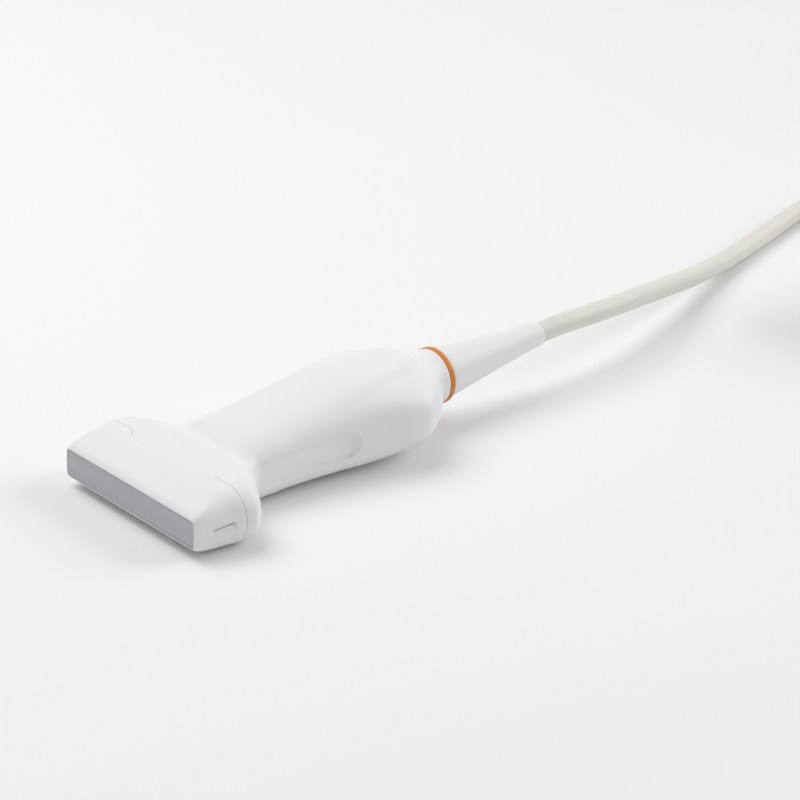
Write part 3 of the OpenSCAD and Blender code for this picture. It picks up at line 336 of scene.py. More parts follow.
# Finger groove
groove_half_h, groove_depth, groove_len, groove_start_run = 4.1, 0.8, 40, 7
groove_edge, groove_end_edge, groove_brim = 0.9, 3.2, 0.3
groove_y0 = head_len + 12
groove_round_y = groove_y0 + groove_len - groove_half_h

# The handpiece's place, as it lies on the head's rim and the grip's belly, and the turn from Z to its axis
seat = Matrix.Translation(Vector((0, -80.151, 7.68)) * mm) @ Matrix.Rotation(seat_pitch, 4, "X")
along = Matrix.Rotation(-math.pi / 2, 4, "X")


def stations():
    """Each [distance, half width, half thickness, corner radius, egg share, egg power]: the head, the
    shoulder with the collar's notch, the grip, the dome and the tail."""
    w, t = lens_w / 2, lens_h / 2
    rows = [[0, w + rim, t + rim, 1.5, 0, 3],
            [1.4, w + rim + 0.6, t + rim + 1.1, 2.3, 0, 3],
            [5.5, mix(w, head_half_w, 0.42), mix(t, head_half_t, 0.66), 4.2, 0, 3],
            [seam_y - 1, mix(w, head_half_w, 0.66), head_half_t - 0.15, head_corner - 1, 0, 3],
            [seam_side_y, mix(w, head_half_w, 0.9), head_half_t, head_corner - 0.5, 0, 3]]
    for i in range(7):
        u = i / 6
        notch = collar_step * math.sin(math.pi * clamp01(1.5 * u - 0.5)) ** 2
        rows.append([head_len + u * shoulder_len, mix(head_half_w, waist_half_w, ease(u)),
                     mix(head_half_t, waist_half_t, u * u) - notch, head_corner - 0.5 * u, ease(u), 3])
    for u, widened, thickened in ((0.33, 0.3, 0.33), (0.68, 1.3, 0.7)):
        rows.append([mix(waist_y, belly_y, u), waist_half_w + widened,
                     mix(waist_half_t, belly_half_t, thickened), grip_corner, 1, belly_power])
    rows.append([belly_y, mix(waist_half_w, swell_half_w, 0.55), belly_half_t, grip_corner, 1, belly_power])
    for i in range(7):
        u = math.sin(math.radians(15 * i))
        foot = tail_r + fillet * u ** 8
        rows.append([swell_y + u * dome_len, foot + (swell_half_w - tail_r) * (1 - u ** 1.6) ** 0.85,
                     foot + (belly_half_t - dome_drop - tail_r) * (1 - u ** 2.4),
                     grip_corner, 1, mix(2.5, 2, u)])
    return rows + [[y, tail_r, tail_r, tail_r, 1, 2] for y in (dome_y + 2.6, tail_end_y)]


keys = stations()


def chord(i, c):
    """Rise per millimetre of a column from one station to the next."""
    return (keys[i + 1][c] - keys[i][c]) / (keys[i + 1][0] - keys[i][0])


def slope(i, c):
    """Slope of a column at a station, which keeps the curve through it from overshooting."""
    if i == 0 or i == len(keys) - 1:
        return chord(min(i, len(keys) - 2), c)
    a, b = chord(i - 1, c), chord(i, c)
    return 0 if a * b <= 0 else 2 * a * b / (a + b)


def section(y):
    """Half width, half thickness, corner radius, egg share and egg power at a distance from the lens, on
    smooth curves through the stations."""
    i = 0
    while i < len(keys) - 2 and y >= keys[i + 1][0]:
        i += 1
    d = keys[i + 1][0] - keys[i][0]
    u = clamp01((y - keys[i][0]) / d)
    here, leaving = 2 * u ** 3 - 3 * u * u + 1, (u ** 3 - 2 * u * u + u) * d
    there, arriving = 3 * u * u - 2 * u ** 3, (u ** 3 - u * u) * d
    return [here * keys[i][c] + leaving * slope(i, c) + there * keys[i + 1][c] + arriving * slope(i + 1, c)
            for c in range(1, len(keys[i]))]


# A quarter of a section runs from its side at place 0 to its top at place 10. The corner lies from 2 to 7.
crown = 0.1
end_share, egg_power = 0.45, 2.7


def box_point(w, t, r, bulge, k):
    """A point of a box with round corners, whose sides bulge a little."""
    wc, tc = w - bulge - r, t - bulge - r
    if k <= 2:
        return w - bulge * (k / 2) ** 2, tc * k / 2
    if k <= 7:
        a = math.radians(18 * (k - 2))
        return wc + r * math.cos(a), tc + r * math.sin(a)
    u = (10 - k) / 3
    return wc * u, t - bulge * u * u


def egg_point(w, t, n, k):
    """A point of an egg: an ellipse at the power of 2, squarer above it."""
    a = math.radians(9 * k)
    return w * max(0, math.cos(a)) ** (2 / n), t * max(0, math.sin(a)) ** (2 / n)


def hood(x, y):
    """Height of the thumb rest, of which a part is a sink of the surface beside it. Its rim runs on
    forwards, wider and softer, as the ridge along each side of the grip's flat top."""
    u = ease((hood_end_y - y) / ridge_run)
    out = math.hypot(x, max(0, y - hood_end_y + hood_half_w)) - mix(hood_half_w, ridge_half_w, u)
    foot_y = hood_end_y + hood_edge / 2
    return (hood_h * (1 - hood_sink - ease(0.5 + out / mix(hood_edge, ridge_edge, u)))
            * mix(1, ridge_share, u) * ease(1 + (y - hood_end_y) / hood_len)
            * (1 - ease((y - foot_y) / (dome_y - foot_y))))


def groove(y, z):
    """Depth of the finger groove: a scoop with a soft long edge and a long curved end."""
    out = math.hypot(max(0, y - groove_round_y), z)
    inside = groove_half_h - out
    if inside <= 0:
        return 0
    lean = max(0, y - groove_round_y) / max(out, 0.01)
    side = 1 - (1 - clamp01(inside / mix(groove_edge, groove_end_edge, lean))) ** 2
    deep = groove_depth * mix(0.6, 1.4, (y - groove_y0) / groove_len)
    return deep * side * ease(inside / groove_brim) * ease((y - groove_y0 + 2) / groove_start_run)


def skin_point(y, quarter, k):
    """A point of the skin, with the thumb rest and the finger groove in it."""
    w, t, r, share, power = section(y)
    r = max(0.4, min(r, t - crown - 0.1, w - crown - 0.1))
    bx, bz = box_point(w, t, r, crown, k)
    ex, ez = egg_point(w, t, power, k)
    x, z = mix(bx, ex, share), mix(bz, ez, share)
    if quarter < 2:
        z *= 1 + hood(x, y) / t
    x -= groove(y, z)
    return Vector((-x if quarter in (1, 2) else x, y, -z if quarter >= 2 else z))


def seam_shift(x):
    """How far back the nose's seam lies: it steps back on each side of its middle part."""
    return (seam_side_y - seam_y) * ease((abs(x) - step_half_w) / step_run)


def on_skin(y, quarter, k):
    """A point of the skin on the ring that is y from the lens in the middle. Rings near the seam of the
    nose follow its steps."""
    pull = ease(y / seam_y) if y < seam_y else 1 - ease((y - seam_y) / seam_fade)
    p = skin_point(y, quarter, k)
    # The shift depends on how far across the point lies, so the two are settled in a few rounds.
    for _ in range(4):
        p = skin_point(y + pull * seam_shift(p.x), quarter, k)
    return p


def quarter_places(side, corner, top):
    """Places round a quarter: so many at its side, over its corner and at its top. They lie evenly over
    the egg near its side and top, where the finger groove and the hood need them."""
    def near_end(u):
        return math.degrees(math.asin((end_share * u) ** (egg_power / 2))) / 9

    lap = near_end(1)
    return ([near_end(i / side) for i in range(side)]
            + [mix(lap, 10 - lap, i / corner) for i in range(corner)]
            + [10 - near_end(1 - i / top) for i in range(top)])


def over_top(quarter):
    """(quarter number, place) from the right side over the top, short of the left side's own place 0."""
    return [(0, k) for k in quarter] + [(1, k) for k in [10] + quarter[:0:-1]]


def spaced(*stops):
    """Distances between stops given as (y, step up to the next stop)."""
    ys = []
    for (a, step), (b, _) in zip(stops, stops[1:]):
        n = max(1, round((b - a) / step))
        ys += [mix(a, b, i / n) for i in range(n)]
    return ys + [stops[-1][0]]


# ---- Nose ----
window_gap, window_corner = 0.08, 0.98
window_y, flare_y, hollow_y = 6.5, 8, 11.2
rim_edge, window_edge, seam_edge = 0.34, 0.04, 0.12
mark_len, mark_h, mark_turn = 7.4, 2.7, math.radians(-10.5)
mark_y = 5 + mark_len / 2
cutter_w, slot_depth, ramp_depth = 3, 1.25, 0.7
slot_len, slot_h, slot_along, slot_up = 6.4, 0.9, 0.1, 0.5
slot_back_rise, slot_front_drop, ramp_front_drop = 0.45, 0.28, 0.8


def inside_nose(y, quarter, k):
    """A point of the nose's hollow: the window's outline in front, which opens to the wall's inside."""
    w, t, r, _, _ = section(y)
    opened = ease((y - window_y) / (flare_y - window_y))
    back = ease((y - flare_y) / (hollow_y - flare_y))
    x, z = box_point(mix(lens_w / 2 + window_gap, w - wall, opened),
                     mix(lens_h / 2 + window_gap, t - wall, opened),
                     mix(window_corner, r - wall, back), back * crown, k)
    return Vector((-x if quarter in (1, 2) else x, y, -z if quarter >= 2 else z))


def cut_mark(nose):
    """The notch in the nose's right side: a slanted slot, and below it a ramp that fades out downwards."""
    beside = (Matrix.Translation(Vector((section(mark_y)[0], mark_y, 0)) * mm)
              @ Matrix.Rotation(mark_turn, 4, "Z"))
    slot = box("mark_slot", (cutter_w, slot_len, slot_h), (cutter_w / 2 - slot_depth, slot_along, slot_up))
    shift(slot, lambda p: p.y > 0, (0, 0, slot_back_rise))
    shift(slot, lambda p: p.y < 0, (0, 0, -slot_front_drop))
    cut_out(nose, settle(slot, beside), "EXACT")
    ramp = box("mark_ramp", (cutter_w, mark_len, mark_h), (cutter_w / 2 - ramp_depth, 0, 0))
    shift(ramp, lambda p: p.x < 0 and p.z < 0, (ramp_depth, 0, 0))
    shift(ramp, lambda p: p.y < 0 and p.z > 0, (0, 0, -ramp_front_drop))
    bevel_edges(ramp, lambda e: abs(e.verts[0].co.x - e.verts[1].co.x) > mm, 0.5, 4)
    cut_out(nose, settle(ramp, beside), "EXACT")


def make_nose():
    """The nose: its skin and its hollow as one sheet, bridged behind, with its edges softened."""
    half = over_top(quarter_places(10, 24, 8))
    places = half + [(quarter + 2, k) for quarter, k in half]
    outer = spaced((0, 0.35), (1.4, 0.5), (seam_y - seam_gap / 2, 0))
    inner = [0, 1.4, 4, window_y, 7, 7.5, flare_y, 9, 10, hollow_y, 13, 15.2]

    def place(column, row):
        quarter, k = places[column % len(places)]
        if row < len(outer):
            return on_skin(outer[-1 - row], quarter, k)
        return inside_nose(inner[row - len(outer)], quarter, k)

    nose = sheet("nose", len(places), len(outer) + len(inner) - 1, place)
    outward(nose)
    edit(nose, "EDGE")
    bpy.ops.mesh.select_non_manifold()
    bpy.ops.mesh.bridge_edge_loops()
    done()
    outward(nose)

    def at_front(edge, outer):
        p = middle(edge)
        far = abs(p.x) > (lens_w / 2 + rim / 2) * mm or abs(p.z) > (lens_h / 2 + rim / 2) * mm
        return is_sharp(edge) and all(v.co.y < 0.1 * mm for v in edge.verts) and far == outer

    bevel_edges(nose, lambda e: at_front(e, True), rim_edge, 5)
    bevel_edges(nose, lambda e: at_front(e, False), window_edge, 2)
    bevel_edges(nose, lambda e: is_sharp(e, 60) and middle(e).y > 10 * mm, seam_edge, 2)
    cut_mark(nose)
    smooth(nose, 40)
    return settle(nose, seat)


# ---- Grip shells ----
parting_fine, parting_wide, parting_run = 0.003, 0.012, 3
post_x, post_ys = 8.4, (44.2, 79)
post_z0, post_z1 = -9.6, -0.6
post_r, post_hole_r, post_hole_depth = 2.1, 0.8, 3.4


def parting(y):
    """Half of the gap between the grip shells, which is wider behind the finger groove."""
    return mix(parting_fine, parting_wide, ease((y - groove_y0 - groove_len) / parting_run))


def make_grip(name, upper):
    """A grip shell's skin as one sheet, from the nose's seam to the ring."""
    quarter = quarter_places(24, 16, 18)
    half = over_top(quarter) + [(1, 0)]
    if not upper:
        half = [(3 - q, k) for q, k in half]
    ys = spaced((seam_y + seam_gap / 2, 0.6), (22, 0.4), (30, 0.7), (58, 0.5), (63, 0.3), (72, 0.6),
                (96, 0.4), (tail_end_y, 0))
    side = 1 if upper else -1

    def place(column, row):
        p = on_skin(ys[row], *half[column])
        p.z = side * max(side * p.z, parting(p.y))
        return p

    shell = sheet(name, len(half) - 1, len(ys) - 1, place)
    outward(shell)
    return shell


def face_out(shell, upper):
    """Turns a shell's faces to the outside, by the face nearest its top or bottom."""
    faces = shell.data.polygons
    test = max(faces, key=lambda f: f.center.z if upper else -f.center.z)
    if (test.normal.z > 0) != upper:
        edit(shell)
        bpy.ops.mesh.select_all(action="SELECT")
        bpy.ops.mesh.flip_normals()
        done()


def finish_grip(shell, upper):
    """Gives a grip shell its wall, and softens its edges at the nose and at the ring."""
    face_out(shell, upper)
    finish_with(shell, "SOLIDIFY", thickness=wall * mm, offset=-1)

    def at_end(edge):
        y = middle(edge).y / mm
        return is_sharp(edge, 60) and (y < seam_side_y + 1.6 or y > tail_end_y - 0.5)

    bevel_edges(shell, at_end, seam_edge, 2)
    smooth(shell, 40)
    return settle(shell, seat)


def make_posts():
    """The lower shell's four posts, which carry the board, each with a hole for its screw."""
    posts = []
    for x in (-post_x, post_x):
        for y in post_ys:
            post = rod("post", post_r, post_z0, post_z1, (x, y), 32)
            edit(post)
            pick(post, lambda c, n: n.z > 0.5)
            bpy.ops.mesh.inset(thickness=(post_r - post_hole_r) * mm)
            bpy.ops.mesh.extrude_region_move(TRANSFORM_OT_translate={"value": (0, 0, -post_hole_depth * mm)})
            done()
            posts.append(settle(post, seat))
    return posts


nose = make_nose()
grip_upper = finish_grip(make_grip("grip_upper", True), True)
grip_lower = finish_grip(make_grip("grip_lower", False), False)
join(grip_lower, *make_posts())


# ---- Lens ----
lens_corner, lens_edge, lens_crown, line_step = 0.9, 0.2, 0.16, 0.6


def make_lens():
    """The window: a slab with rounded corners, crowned a little across its height."""
    lens = box("lens", (lens_w, lens_depth, lens_h), (0, lens_depth / 2, 0))
    bevel_edges(lens, lambda e: abs(e.verts[0].co.y - e.verts[1].co.y) > mm, lens_corner, 8)
    lines = [i * line_step for i in range(-6, 7)]
    edit(lens)
    for z in lines:
        bpy.ops.mesh.select_all(action="SELECT")
        bpy.ops.mesh.bisect(plane_co=(0, 0, z * mm), plane_no=(0, 0, 1))
    done()
    bevel_edges(lens, lambda e: is_sharp(e, 50) and middle(e).y < mm, lens_edge, 3)
    for z in sorted({abs(z) for z in lines} - {0}) + [lens_h / 2 - lens_edge]:
        shift(lens, lambda p: p.y < 0.01 * mm and abs(abs(p.z) - z * mm) < 0.04 * mm,
              (0, lens_crown * (2 * z / lens_h) ** 2, 0))
    smooth(lens, 50)
    return settle(lens, seat)


lens = make_lens()


# ---- Tail ----
# Colour ring
ring_end_y = tail_end_y + 2
ring_r, ring_bore_r, ring_play = 8.8, 6.1, 0.02
# Strain relief, with the seat of the ring and the barb that holds it in the tail
relief_end_y = ring_end_y + 44
relief_start_y, neck_r, ring_seat_r, relief_r = 106, 5.4, 6, 8.1
barb_y0, barb_y1, barb_r = 108.2, 110.3, 6.4
lead_bore_r, relief_tip_r = lead_r + 0.05, lead_r + 0.65


def relief_cone(r0, y0, y1, tip=1.7, rounding=0.55):
    """Outline of a strain relief's cone with a rounded tip, which ends in the bore."""
    r1 = relief_tip_r
    cone = [(r1 + (r0 - r1) * (1 - u / 20) ** 1.15, mix(y0, y1 - tip, u / 20)) for u in range(21)]
    end = [(r1 - rounding * (1 - math.cos(math.radians(a))), y1 - tip + tip * math.sin(math.radians(a)))
           for a in (22, 45, 67, 90)]
    return cone + end + [(lead_bore_r, y1), (lead_bore_r, y1 - 3)]


def ring_rim():
    """Outline of the ring's rim, as (radius, y), rounded at both ends."""
    rounding = [(0.45, ring_play), (0.2, 0.08), (0.06, 0.22), (0, 0.5)]
    return ([(ring_r - drop, tail_end_y + step) for drop, step in rounding]
            + [(ring_r - drop, ring_end_y - step) for drop, step in reversed(rounding)])


ring = turned("ring", [(ring_bore_r, tail_end_y + ring_play)] + ring_rim()
              + [(ring_bore_r, ring_end_y - ring_play)])
smooth(ring, 30)
settle(ring, seat @ along)
relief = turned("relief", [(lead_bore_r, relief_start_y), (neck_r, relief_start_y), (neck_r, barb_y0),
                           (barb_r, barb_y0), (barb_r, barb_y1), (neck_r, barb_y1), (neck_r, tail_end_y),
                           (ring_seat_r, tail_end_y), (ring_seat_r, ring_end_y),
                           (relief_r - 0.25, ring_end_y), (relief_r - 0.08, ring_end_y + 0.1)]
                + relief_cone(relief_r, ring_end_y + 0.3, relief_end_y))
smooth(relief, 30)
settle(relief, seat @ along)

# ---- Plug ----
plug_at = Vector((47, 251, 0))
# Case and shroud
plug_w, plug_l, case_r, case_wall = 58, 78, 9, 2.2
case_z0, case_z1, split_z = 8, 33, 20.5
shroud_w, shroud_l, shroud_wall, shroud_corner, shroud_h = 44, 60, 1.6, 4, 12.4
# Holes in the case, and how far its edges are rounded
relief_hole_r, bush_hole_r, screw_hole_r, screw_inset = 6.1, 6.02, 2.8, 5.6
top_edge, base_edge, split_edge, shroud_edge = 3, 1, 0.25, 0.3
# Strain relief at the plug, with the slot that the case's end wall sits in
plug_relief_r, plug_relief_y, plug_cone_y, plug_tip_y = 7, 34.8, 39.8, 67
flange_r, slot_r = 8, 6
plug_place = Matrix.Translation(plug_at * mm)


def rounded_slab(name, w, l, r, z0, z1, segments=10):
    """A slab in the middle of the plug, with its upright edges rounded."""
    slab = box(name, (w, l, z1 - z0), (0, 0, (z0 + z1) / 2))
    bevel_edges(slab, is_upright, r, segments)
    return slab


def make_cover(name, z0, z1, upper):
    """One half of the plug's case: a slab rounded on its closed side and hollowed from the other."""
    cover = rounded_slab(name, plug_w, plug_l, case_r, z0, z1)
    if upper:
        bevel_edges(cover, lambda e: is_sharp(e, 60) and middle(e).z > (z1 - 0.1) * mm, top_edge, 8)
    else:
        bevel_edges(cover, lambda e: is_sharp(e, 60) and middle(e).z < (z0 + 0.1) * mm, base_edge, 4)
    edit(cover)
    pick(cover, lambda c, n: n.z * (1 if upper else -1) < -0.9)
    bpy.ops.mesh.delete(type="FACE")
    done()
    finish_with(cover, "SOLIDIFY", thickness=case_wall * mm, offset=-1)
    bevel_edges(cover, lambda e: is_sharp(e, 60) and abs(middle(e).z - split_z * mm) < 0.2 * mm,
                split_edge, 2)
    return cover


def relief_cutter():
    """A rod along Y through the end wall, where the strain relief goes in."""
    bpy.ops.mesh.primitive_cylinder_add(vertices=64, radius=relief_hole_r * mm, depth=8 * mm,
                                        location=Vector((0, plug_l / 2, split_z)) * mm,
                                        rotation=(math.pi / 2, 0, 0))
    return settle(started("relief_cutter"))


plug_top = make_cover("plug_top", split_z + seam_gap / 2, case_z1, True)
cut_out(plug_top, relief_cutter())
cut_out(plug_top, rod("bush_cutter", bush_hole_r, case_z1 - 6, case_z1 + 2))
smooth(plug_top)
settle(plug_top, plug_place)
plug_base = make_cover("plug_base", case_z0, split_z - seam_gap / 2, False)
cut_out(plug_base, relief_cutter())
cut_out(plug_base, rounded_slab("shroud_cutter", shroud_w + 0.2, shroud_l + 0.2, shroud_corner,
                                case_z0 - 2, case_z0 + 6))
for x in (-1, 1):
    for y in (-1, 1):
        at = (x * (plug_w / 2 - screw_inset), y * (plug_l / 2 - screw_inset))
        cut_out(plug_base, rod("screw_cutter", screw_hole_r, case_z0 - 1, case_z0 + 4, at))
smooth(plug_base)
settle(plug_base, plug_place)

shroud = rounded_slab("shroud", shroud_w, shroud_l, shroud_corner, 0, shroud_h, 6)
edit(shroud)
pick(shroud, lambda c, n: abs(n.z) > 0.9)
bpy.ops.mesh.delete(type="FACE")
done()
finish_with(shroud, "SOLIDIFY", thickness=shroud_wall * mm, offset=-1)
bevel_edges(shroud, lambda e: is_sharp(e, 60), shroud_edge, 2)
smooth(shroud)
settle(shroud, plug_place)

plug_relief = turned("plug_relief", [(lead_bore_r, plug_relief_y), (flange_r, plug_relief_y),
                                     (flange_r, plug_relief_y + 2), (slot_r, plug_relief_y + 2),
                                     (slot_r, plug_cone_y - 0.4), (plug_relief_r - 0.2, plug_cone_y - 0.4),
                                     (plug_relief_r - 0.05, plug_cone_y - 0.3)]
                     + relief_cone(plug_relief_r, plug_cone_y, plug_tip_y))
smooth(plug_relief, 30)
settle(plug_relief, Matrix.Translation((plug_at + Vector((0, 0, split_z))) * mm) @ along)

# ---- Lock lever ----
lever_z, lever_h, lever_len, lever_wing_w, hub_r, hub_h = 33.5, 8, 24, 9, 11, 6
head_hole_r, head_hole_depth, shaft_hole_r, shaft_hole_end = 3, 1.7, 4.05, 2.5
hub_top_edge, hub_foot_edge, wing_edge = 2, 0.3, 0.7


def make_lever():
    """A round hub and a long wing, whose rounded ends are the two halves of one rod moved apart."""
    lever_top = lever_z + lever_h
    hub = rod("lever", hub_r, lever_z, lever_z + hub_h, sides=96)
    bevel_edges(hub, lambda e: is_sharp(e, 60) and middle(e).z > (lever_z + hub_h - 1) * mm, hub_top_edge, 6)
    bevel_edges(hub, lambda e: is_sharp(e, 60) and middle(e).z < (lever_z + 1) * mm, hub_foot_edge, 2)
    wing = rod("wing", lever_wing_w / 2, lever_z, lever_top, sides=50)
    for side in (-1, 1):
        shift(wing, lambda p: side * p.y > 0, (0, side * (lever_len - lever_wing_w / 2), 0))
    bevel_edges(wing, lambda e: is_sharp(e, 60), wing_edge, 5)
    cut_out(wing, rod("head_cutter", head_hole_r, lever_top - head_hole_depth, lever_top + 2))
    cut_out(wing, rod("shaft_cutter", shaft_hole_r, lever_z - 1, lever_top - shaft_hole_end))
    cut_out(hub, rod("shaft_cutter", shaft_hole_r, lever_z - 1, lever_top + 2))
    for piece in (hub, wing):
        smooth(piece)
    return settle(join(hub, wing), plug_place)


lever = make_lever()

# ---- Strap round the coil ----
strap_t, strap_half_w, strap_edge, strap_turn = 0.9, 7.5, 0.2, math.radians(330)


def strap_path():
    """Outline of the wound turns as a section (reach, height), rounded at its corners."""
    lo, hi, r = coil_r - 5 * lead_r, coil_r + lead_r, lead_r
    z0, z1 = strap_t, 4 * lead_r
    corners = [(hi - r, z0 + r, -90), (hi - r, z1 - r, 0), (lo + r, z1 - r, 90), (lo + r, z0 + r, 180)]
    path = []
    for x, z, start in corners:
        for i in range(7):
            a = math.radians(start + 15 * i)
            path.append((x + r * math.cos(a), z + r * math.sin(a)))
    return path


def make_strap():
    """The strap: its outline drawn out across its width, then thickened outwards."""
    path, rows = strap_path(), 6
    across = Vector((-math.sin(strap_turn), math.cos(strap_turn), 0))
    away = Vector((math.cos(strap_turn), math.sin(strap_turn), 0))

    def place(column, row):
        reach, z = path[column % len(path)]
        width = across * mix(-strap_half_w, strap_half_w, row / rows)
        return coil_at + away * reach + width + Vector((0, 0, z))

    strap = sheet("strap", len(path), rows, place)
    outward(strap)
    finish_with(strap, "SOLIDIFY", thickness=strap_t * mm, offset=1)
    bevel_edges(strap, lambda e: is_sharp(e, 60), strap_edge, 2)
    smooth(strap, 40)
    return settle(strap)


strap = make_strap()

# ---- What each piece rides on and stands for ----
for piece in (nose, grip_upper, grip_lower, lens, ring, relief, cable, strap,
              plug_relief, plug_top, plug_base, shroud):
    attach(piece, "probe")
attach(lever, "lock")
stands_for = [(nose, "white_shell", ["nose_cap"]), (grip_upper, "white_shell", ["housing_upper"]),
              (grip_lower, "white_shell", ["housing_lower"]), (lens, "lens_rubber", ["acoustic_lens"]),
              (ring, "orange_ring", ["colour_ring"]), (relief, "relief_rubber", ["strain_relief"]),
              (cable, "lead_jacket", ["lead", "lead_coil", "lead_plug_end"]), (strap, "strap", ["coil_tie"]),
              (plug_relief, "relief_rubber", ["plug_strain_relief"]),
              (plug_top, "plug_plastic", ["plug_cover_upper"]),
              (plug_base, "plug_plastic", ["plug_cover_lower"]),
              (shroud, "shroud_metal", ["plug_shroud"]), (lever, "lever_plastic", ["lock_lever"])]
for piece, slot, nodes in stands_for:
    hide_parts(*nodes)


# ---- Materials ----
class Wire:
    """A socket of a material's nodes, which reads like a number in an expression."""

    def __init__(self, nodes, socket):
        self.nodes, self.socket = nodes, socket

    def maths(self, operation, a, b):
        return self.nodes.add("ShaderNodeMath", {"operation": operation}, {0: a, 1: b})

    def __add__(self, other):
        return self.maths("ADD", self, other)

    def __rsub__(self, other):
        return self.maths("SUBTRACT", other, self)

    def __mul__(self, other):
        return self.maths("MULTIPLY", self, other)

    def __gt__(self, other):
        return self.maths("GREATER_THAN", self, other)

    __radd__, __rmul__ = __add__, __mul__


class Nodes:
    """The nodes of one material, or of the world."""

    def __init__(self, owner):
        owner.use_nodes = True
        self.tree = owner.node_tree
        self.tree.nodes.clear()

    def add(self, kind, settings=None, inputs=None, out=0):
        """Any node, with its settings, its inputs as numbers or wires, and the output to go on from."""
        node = self.tree.nodes.new(kind)
        for name, value in (settings or {}).items():
            setattr(node, name, value)
        for key, value in (inputs or {}).items():
            if isinstance(value, Wire):
                self.tree.links.new(value.socket, node.inputs[key])
            else:
                node.inputs[key].default_value = value
        return Wire(self, node.outputs[out])

    def place(self):
        return self.add("ShaderNodeTexCoord", out="Object")

    def noise(self, grain, detail, stretch=(1, 1, 1)):
        """Noise whose blobs are about grain millimetres across."""
        at = self.place()
        if stretch != (1, 1, 1):
            at = self.add("ShaderNodeMapping", {}, {"Vector": at, "Scale": stretch})
        return self.add("ShaderNodeTexNoise", {}, {"Vector": at, "Scale": 1000 / grain, "Detail": detail})

    def blend(self, share, a, b):
        return self.add("ShaderNodeMix", {"data_type": "RGBA"}, {0: share, 6: a, 7: b}, out=2)


def shade(colour, k=1.0):
    """A colour made k times as bright, with its alpha."""
    return tuple(min(1, c * k) for c in colour) + (1,)


def relief_of(nodes, height, deep):
    """A bump from a height that runs from 0 to 1 over so many millimetres."""
    return nodes.add("ShaderNodeBump", {}, {"Height": height, "Distance": deep * mm, "Strength": 1.0})


finishes = {}


def new_finish(slot):
    """Nodes for the material of a slot. It is kept by its slot, because the frame brings in flat materials
    of the same names."""
    finishes[slot] = bpy.data.materials.new("finish_" + slot)
    return Nodes(finishes[slot])


def close(nodes, colour, roughness, normal, **more):
    """Ends a material in its shader."""
    inputs = {"Base Color": colour, "Roughness": roughness, "Normal": normal, **more}
    shader = nodes.add("ShaderNodeBsdfPrincipled", {}, inputs)
    output = nodes.tree.nodes.new("ShaderNodeOutputMaterial")
    nodes.tree.links.new(shader.socket, output.inputs["Surface"])


def moulded(slot, colour, roughness, grain=0.35, depth=0.006, drift=0.02):
    """Moulded plastic or rubber: a fine even grain, and a slow drift of tone and gloss."""
    nodes = new_finish(slot)
    slow = nodes.noise(26, 3)
    fine = nodes.noise(grain, 2)
    tone = nodes.blend(slow, shade(colour, 1 + drift), shade(colour, 1 - drift))
    gloss = roughness - 0.03 + slow * 0.06 + fine * 0.02
    close(nodes, tone, gloss, relief_of(nodes, fine, depth))


def worked_metal(slot, colour, roughness, stretch=(1, 1, 14)):
    """Metal with fine tool lines in one direction and a cloudy tarnish."""
    nodes = new_finish(slot)
    lines = nodes.noise(1.6, 3, stretch)
    cloud = nodes.noise(5, 2)
    tone = nodes.blend(cloud, shade(colour, 1.03), shade(colour, 0.88))
    gloss = roughness - 0.06 + lines * 0.12 + cloud * 0.05
    close(nodes, tone, gloss, relief_of(nodes, lines, 0.004), Metallic=1.0)


def add_finishes():
    moulded("white_shell", (0.855, 0.852, 0.875), 0.45, grain=0.4, depth=0.003, drift=0.006)
    moulded("relief_rubber", (0.835, 0.832, 0.845), 0.48, grain=0.5, depth=0.004, drift=0.008)
    moulded("lens_rubber", (0.49, 0.48, 0.52), 0.42, grain=0.3, depth=0.002, drift=0.02)
    moulded("orange_ring", (0.70, 0.215, 0.014), 0.48, grain=0.3, depth=0.003)
    moulded("plug_plastic", (0.80, 0.80, 0.79), 0.5, grain=0.55, depth=0.02, drift=0.012)
    moulded("lever_plastic", (0.20, 0.205, 0.22), 0.5, grain=0.5, depth=0.02)
    moulded("connector_plastic", (0.72, 0.68, 0.55), 0.5)
    moulded("contact_plastic", (0.03, 0.03, 0.033), 0.45)
    moulded("seal_rubber", (0.03, 0.03, 0.03), 0.6, grain=0.6, depth=0.01)
    moulded("matching_epoxy", (0.38, 0.26, 0.10), 0.55, grain=0.2)
    moulded("piezo_ceramic", (0.30, 0.28, 0.22), 0.6, grain=0.15, depth=0.01)
    moulded("backing_absorber", (0.14, 0.08, 0.045), 0.75, grain=0.7, depth=0.04, drift=0.08)
    moulded("ferrite", (0.03, 0.03, 0.032), 0.5, grain=0.3, depth=0.01)
    moulded("wire_jackets", (0.26, 0.38, 0.60), 0.45)
    worked_metal("frame_alloy", (0.78, 0.79, 0.81), 0.34)
    worked_metal("steel", (0.62, 0.62, 0.64), 0.3, stretch=(8, 8, 1))
    worked_metal("shield_metal", (0.80, 0.56, 0.26), 0.32, stretch=(14, 1, 1))
    worked_metal("crimp_brass", (0.78, 0.55, 0.22), 0.3, stretch=(1, 14, 1))
    worked_metal("shroud_metal", (0.66, 0.66, 0.67), 0.32, stretch=(1, 1, 12))
    worked_metal("contact_gold", (0.94, 0.66, 0.24), 0.22)


def lead_jacket():
    """Cable jacket: a fine grain, and a slight unevenness of tone, gloss and surface along the lead."""
    nodes = new_finish("lead_jacket")
    slow = nodes.noise(16, 2)
    fine = nodes.noise(0.6, 2)
    tone = nodes.blend(slow, shade((0.755, 0.74, 0.685)), shade((0.725, 0.71, 0.655)))
    close(nodes, tone, 0.44 + slow * 0.08, relief_of(nodes, fine * 0.6 + slow * 0.4, 0.01))


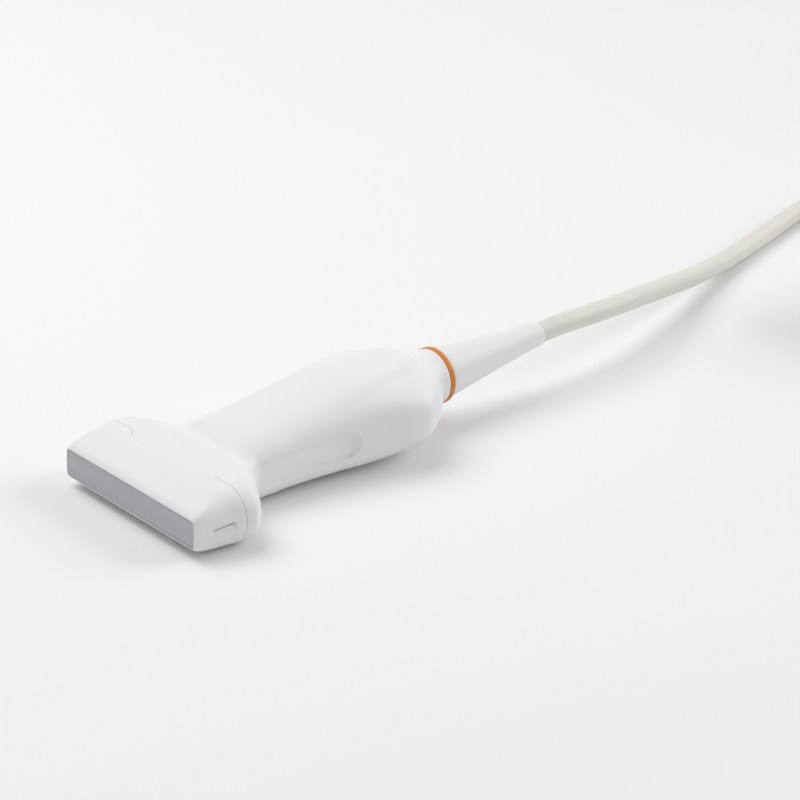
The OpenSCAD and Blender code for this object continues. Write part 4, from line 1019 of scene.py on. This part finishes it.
def strap_weave():
    """Hook and loop strap: a crossed weave under a short felt."""
    nodes = new_finish("strap")
    waves = [nodes.add("ShaderNodeTexWave", {"bands_direction": d}, {"Vector": nodes.place(), "Scale": 320.0})
             for d in "XYZ"]
    felt = nodes.noise(0.5, 3)
    height = (waves[0] + waves[1] + waves[2]) * 0.22 + felt * 0.5
    tone = nodes.blend(height, shade((0.012, 0.012, 0.014)), shade((0.05, 0.05, 0.055)))
    close(nodes, tone, 0.8, relief_of(nodes, height, 0.12))


def tracks(slot, film, copper, roughness, pitch, metallic=0):
    """Film or board with copper tracks under its surface, which shine through a clear film only."""
    nodes = new_finish(slot)
    wave = nodes.add("ShaderNodeTexWave", {"bands_direction": "X"},
                     {"Vector": nodes.place(), "Scale": 1000 / pitch / 3.2, "Distortion": 0.4})
    patch = nodes.noise(4, 1) > 0.5
    line = (wave > 0.6) * patch
    more = {"Metallic": line * metallic} if metallic else {}
    tone = nodes.blend(line, shade(film), shade(copper))
    close(nodes, tone, roughness - line * 0.08, relief_of(nodes, line, 0.02), **more)


add_finishes()
lead_jacket()
strap_weave()
tracks("flex_film", (0.55, 0.24, 0.05), (0.72, 0.36, 0.13), 0.35, 0.8, metallic=0.5)
tracks("circuit_board", (0.012, 0.09, 0.03), (0.03, 0.17, 0.06), 0.4, 1.1)

slot_of = {s["node"]: s["material_slot"] for s in frame["record"]["subparts"]}
for name, node in frame["nodes"].items():
    node.data.materials.clear()
    node.data.materials.append(finishes[slot_of[name]])
for piece, slot, _ in stands_for:
    piece.data.materials.clear()
    piece.data.materials.append(finishes[slot])

# ---- Floor and light ----
sky_light = 0.36


def add_floor():
    bpy.ops.mesh.primitive_plane_add(size=8)
    floor = started("floor")
    finish = bpy.data.materials.new("floor")
    nodes = Nodes(finish)
    tone = nodes.blend(nodes.noise(300, 1), shade((0.93, 0.93, 0.93)), shade((0.90, 0.90, 0.90)))
    close(nodes, tone, 0.7, relief_of(nodes, nodes.noise(2, 1), 0.001))
    floor.data.materials.append(finish)
    return floor


def add_lamp(name, at, size, watts):
    """A square lamp that faces the origin."""
    data = bpy.data.lights.new(name, "AREA")
    data.energy, data.size = watts, size
    lamp = bpy.data.objects.new(name, data)
    lamp.location = at
    lamp.rotation_euler = (-Vector(at)).to_track_quat("-Z", "Y").to_euler()
    bpy.context.scene.collection.objects.link(lamp)


def add_sky():
    """A white sky, which lights the scene less than it shows to the camera, in gloss and in glass."""
    world = bpy.data.worlds.new("world")
    bpy.context.scene.world = world
    nodes = Nodes(world)
    path = nodes.tree.nodes.new("ShaderNodeLightPath")
    seen = [Wire(nodes, path.outputs[n]) for n in ("Is Camera Ray", "Is Glossy Ray", "Is Transmission Ray")]
    shown = (seen[0] + seen[1] + seen[2]) > 0.5
    background = nodes.add("ShaderNodeBackground", {},
                           {"Color": (1, 1, 1, 1), "Strength": sky_light + shown * (1 - sky_light)})
    output = nodes.tree.nodes.new("ShaderNodeOutputWorld")
    nodes.tree.links.new(background.socket, output.inputs["Surface"])


floor = add_floor()
add_lamp("key", (-0.5, -0.25, 1.05), 0.9, 8.2)
add_lamp("rear", (0.7, 1.8, 1.1), 1.2, 18)
add_sky()
bpy.context.scene.view_settings.view_transform = "Standard"
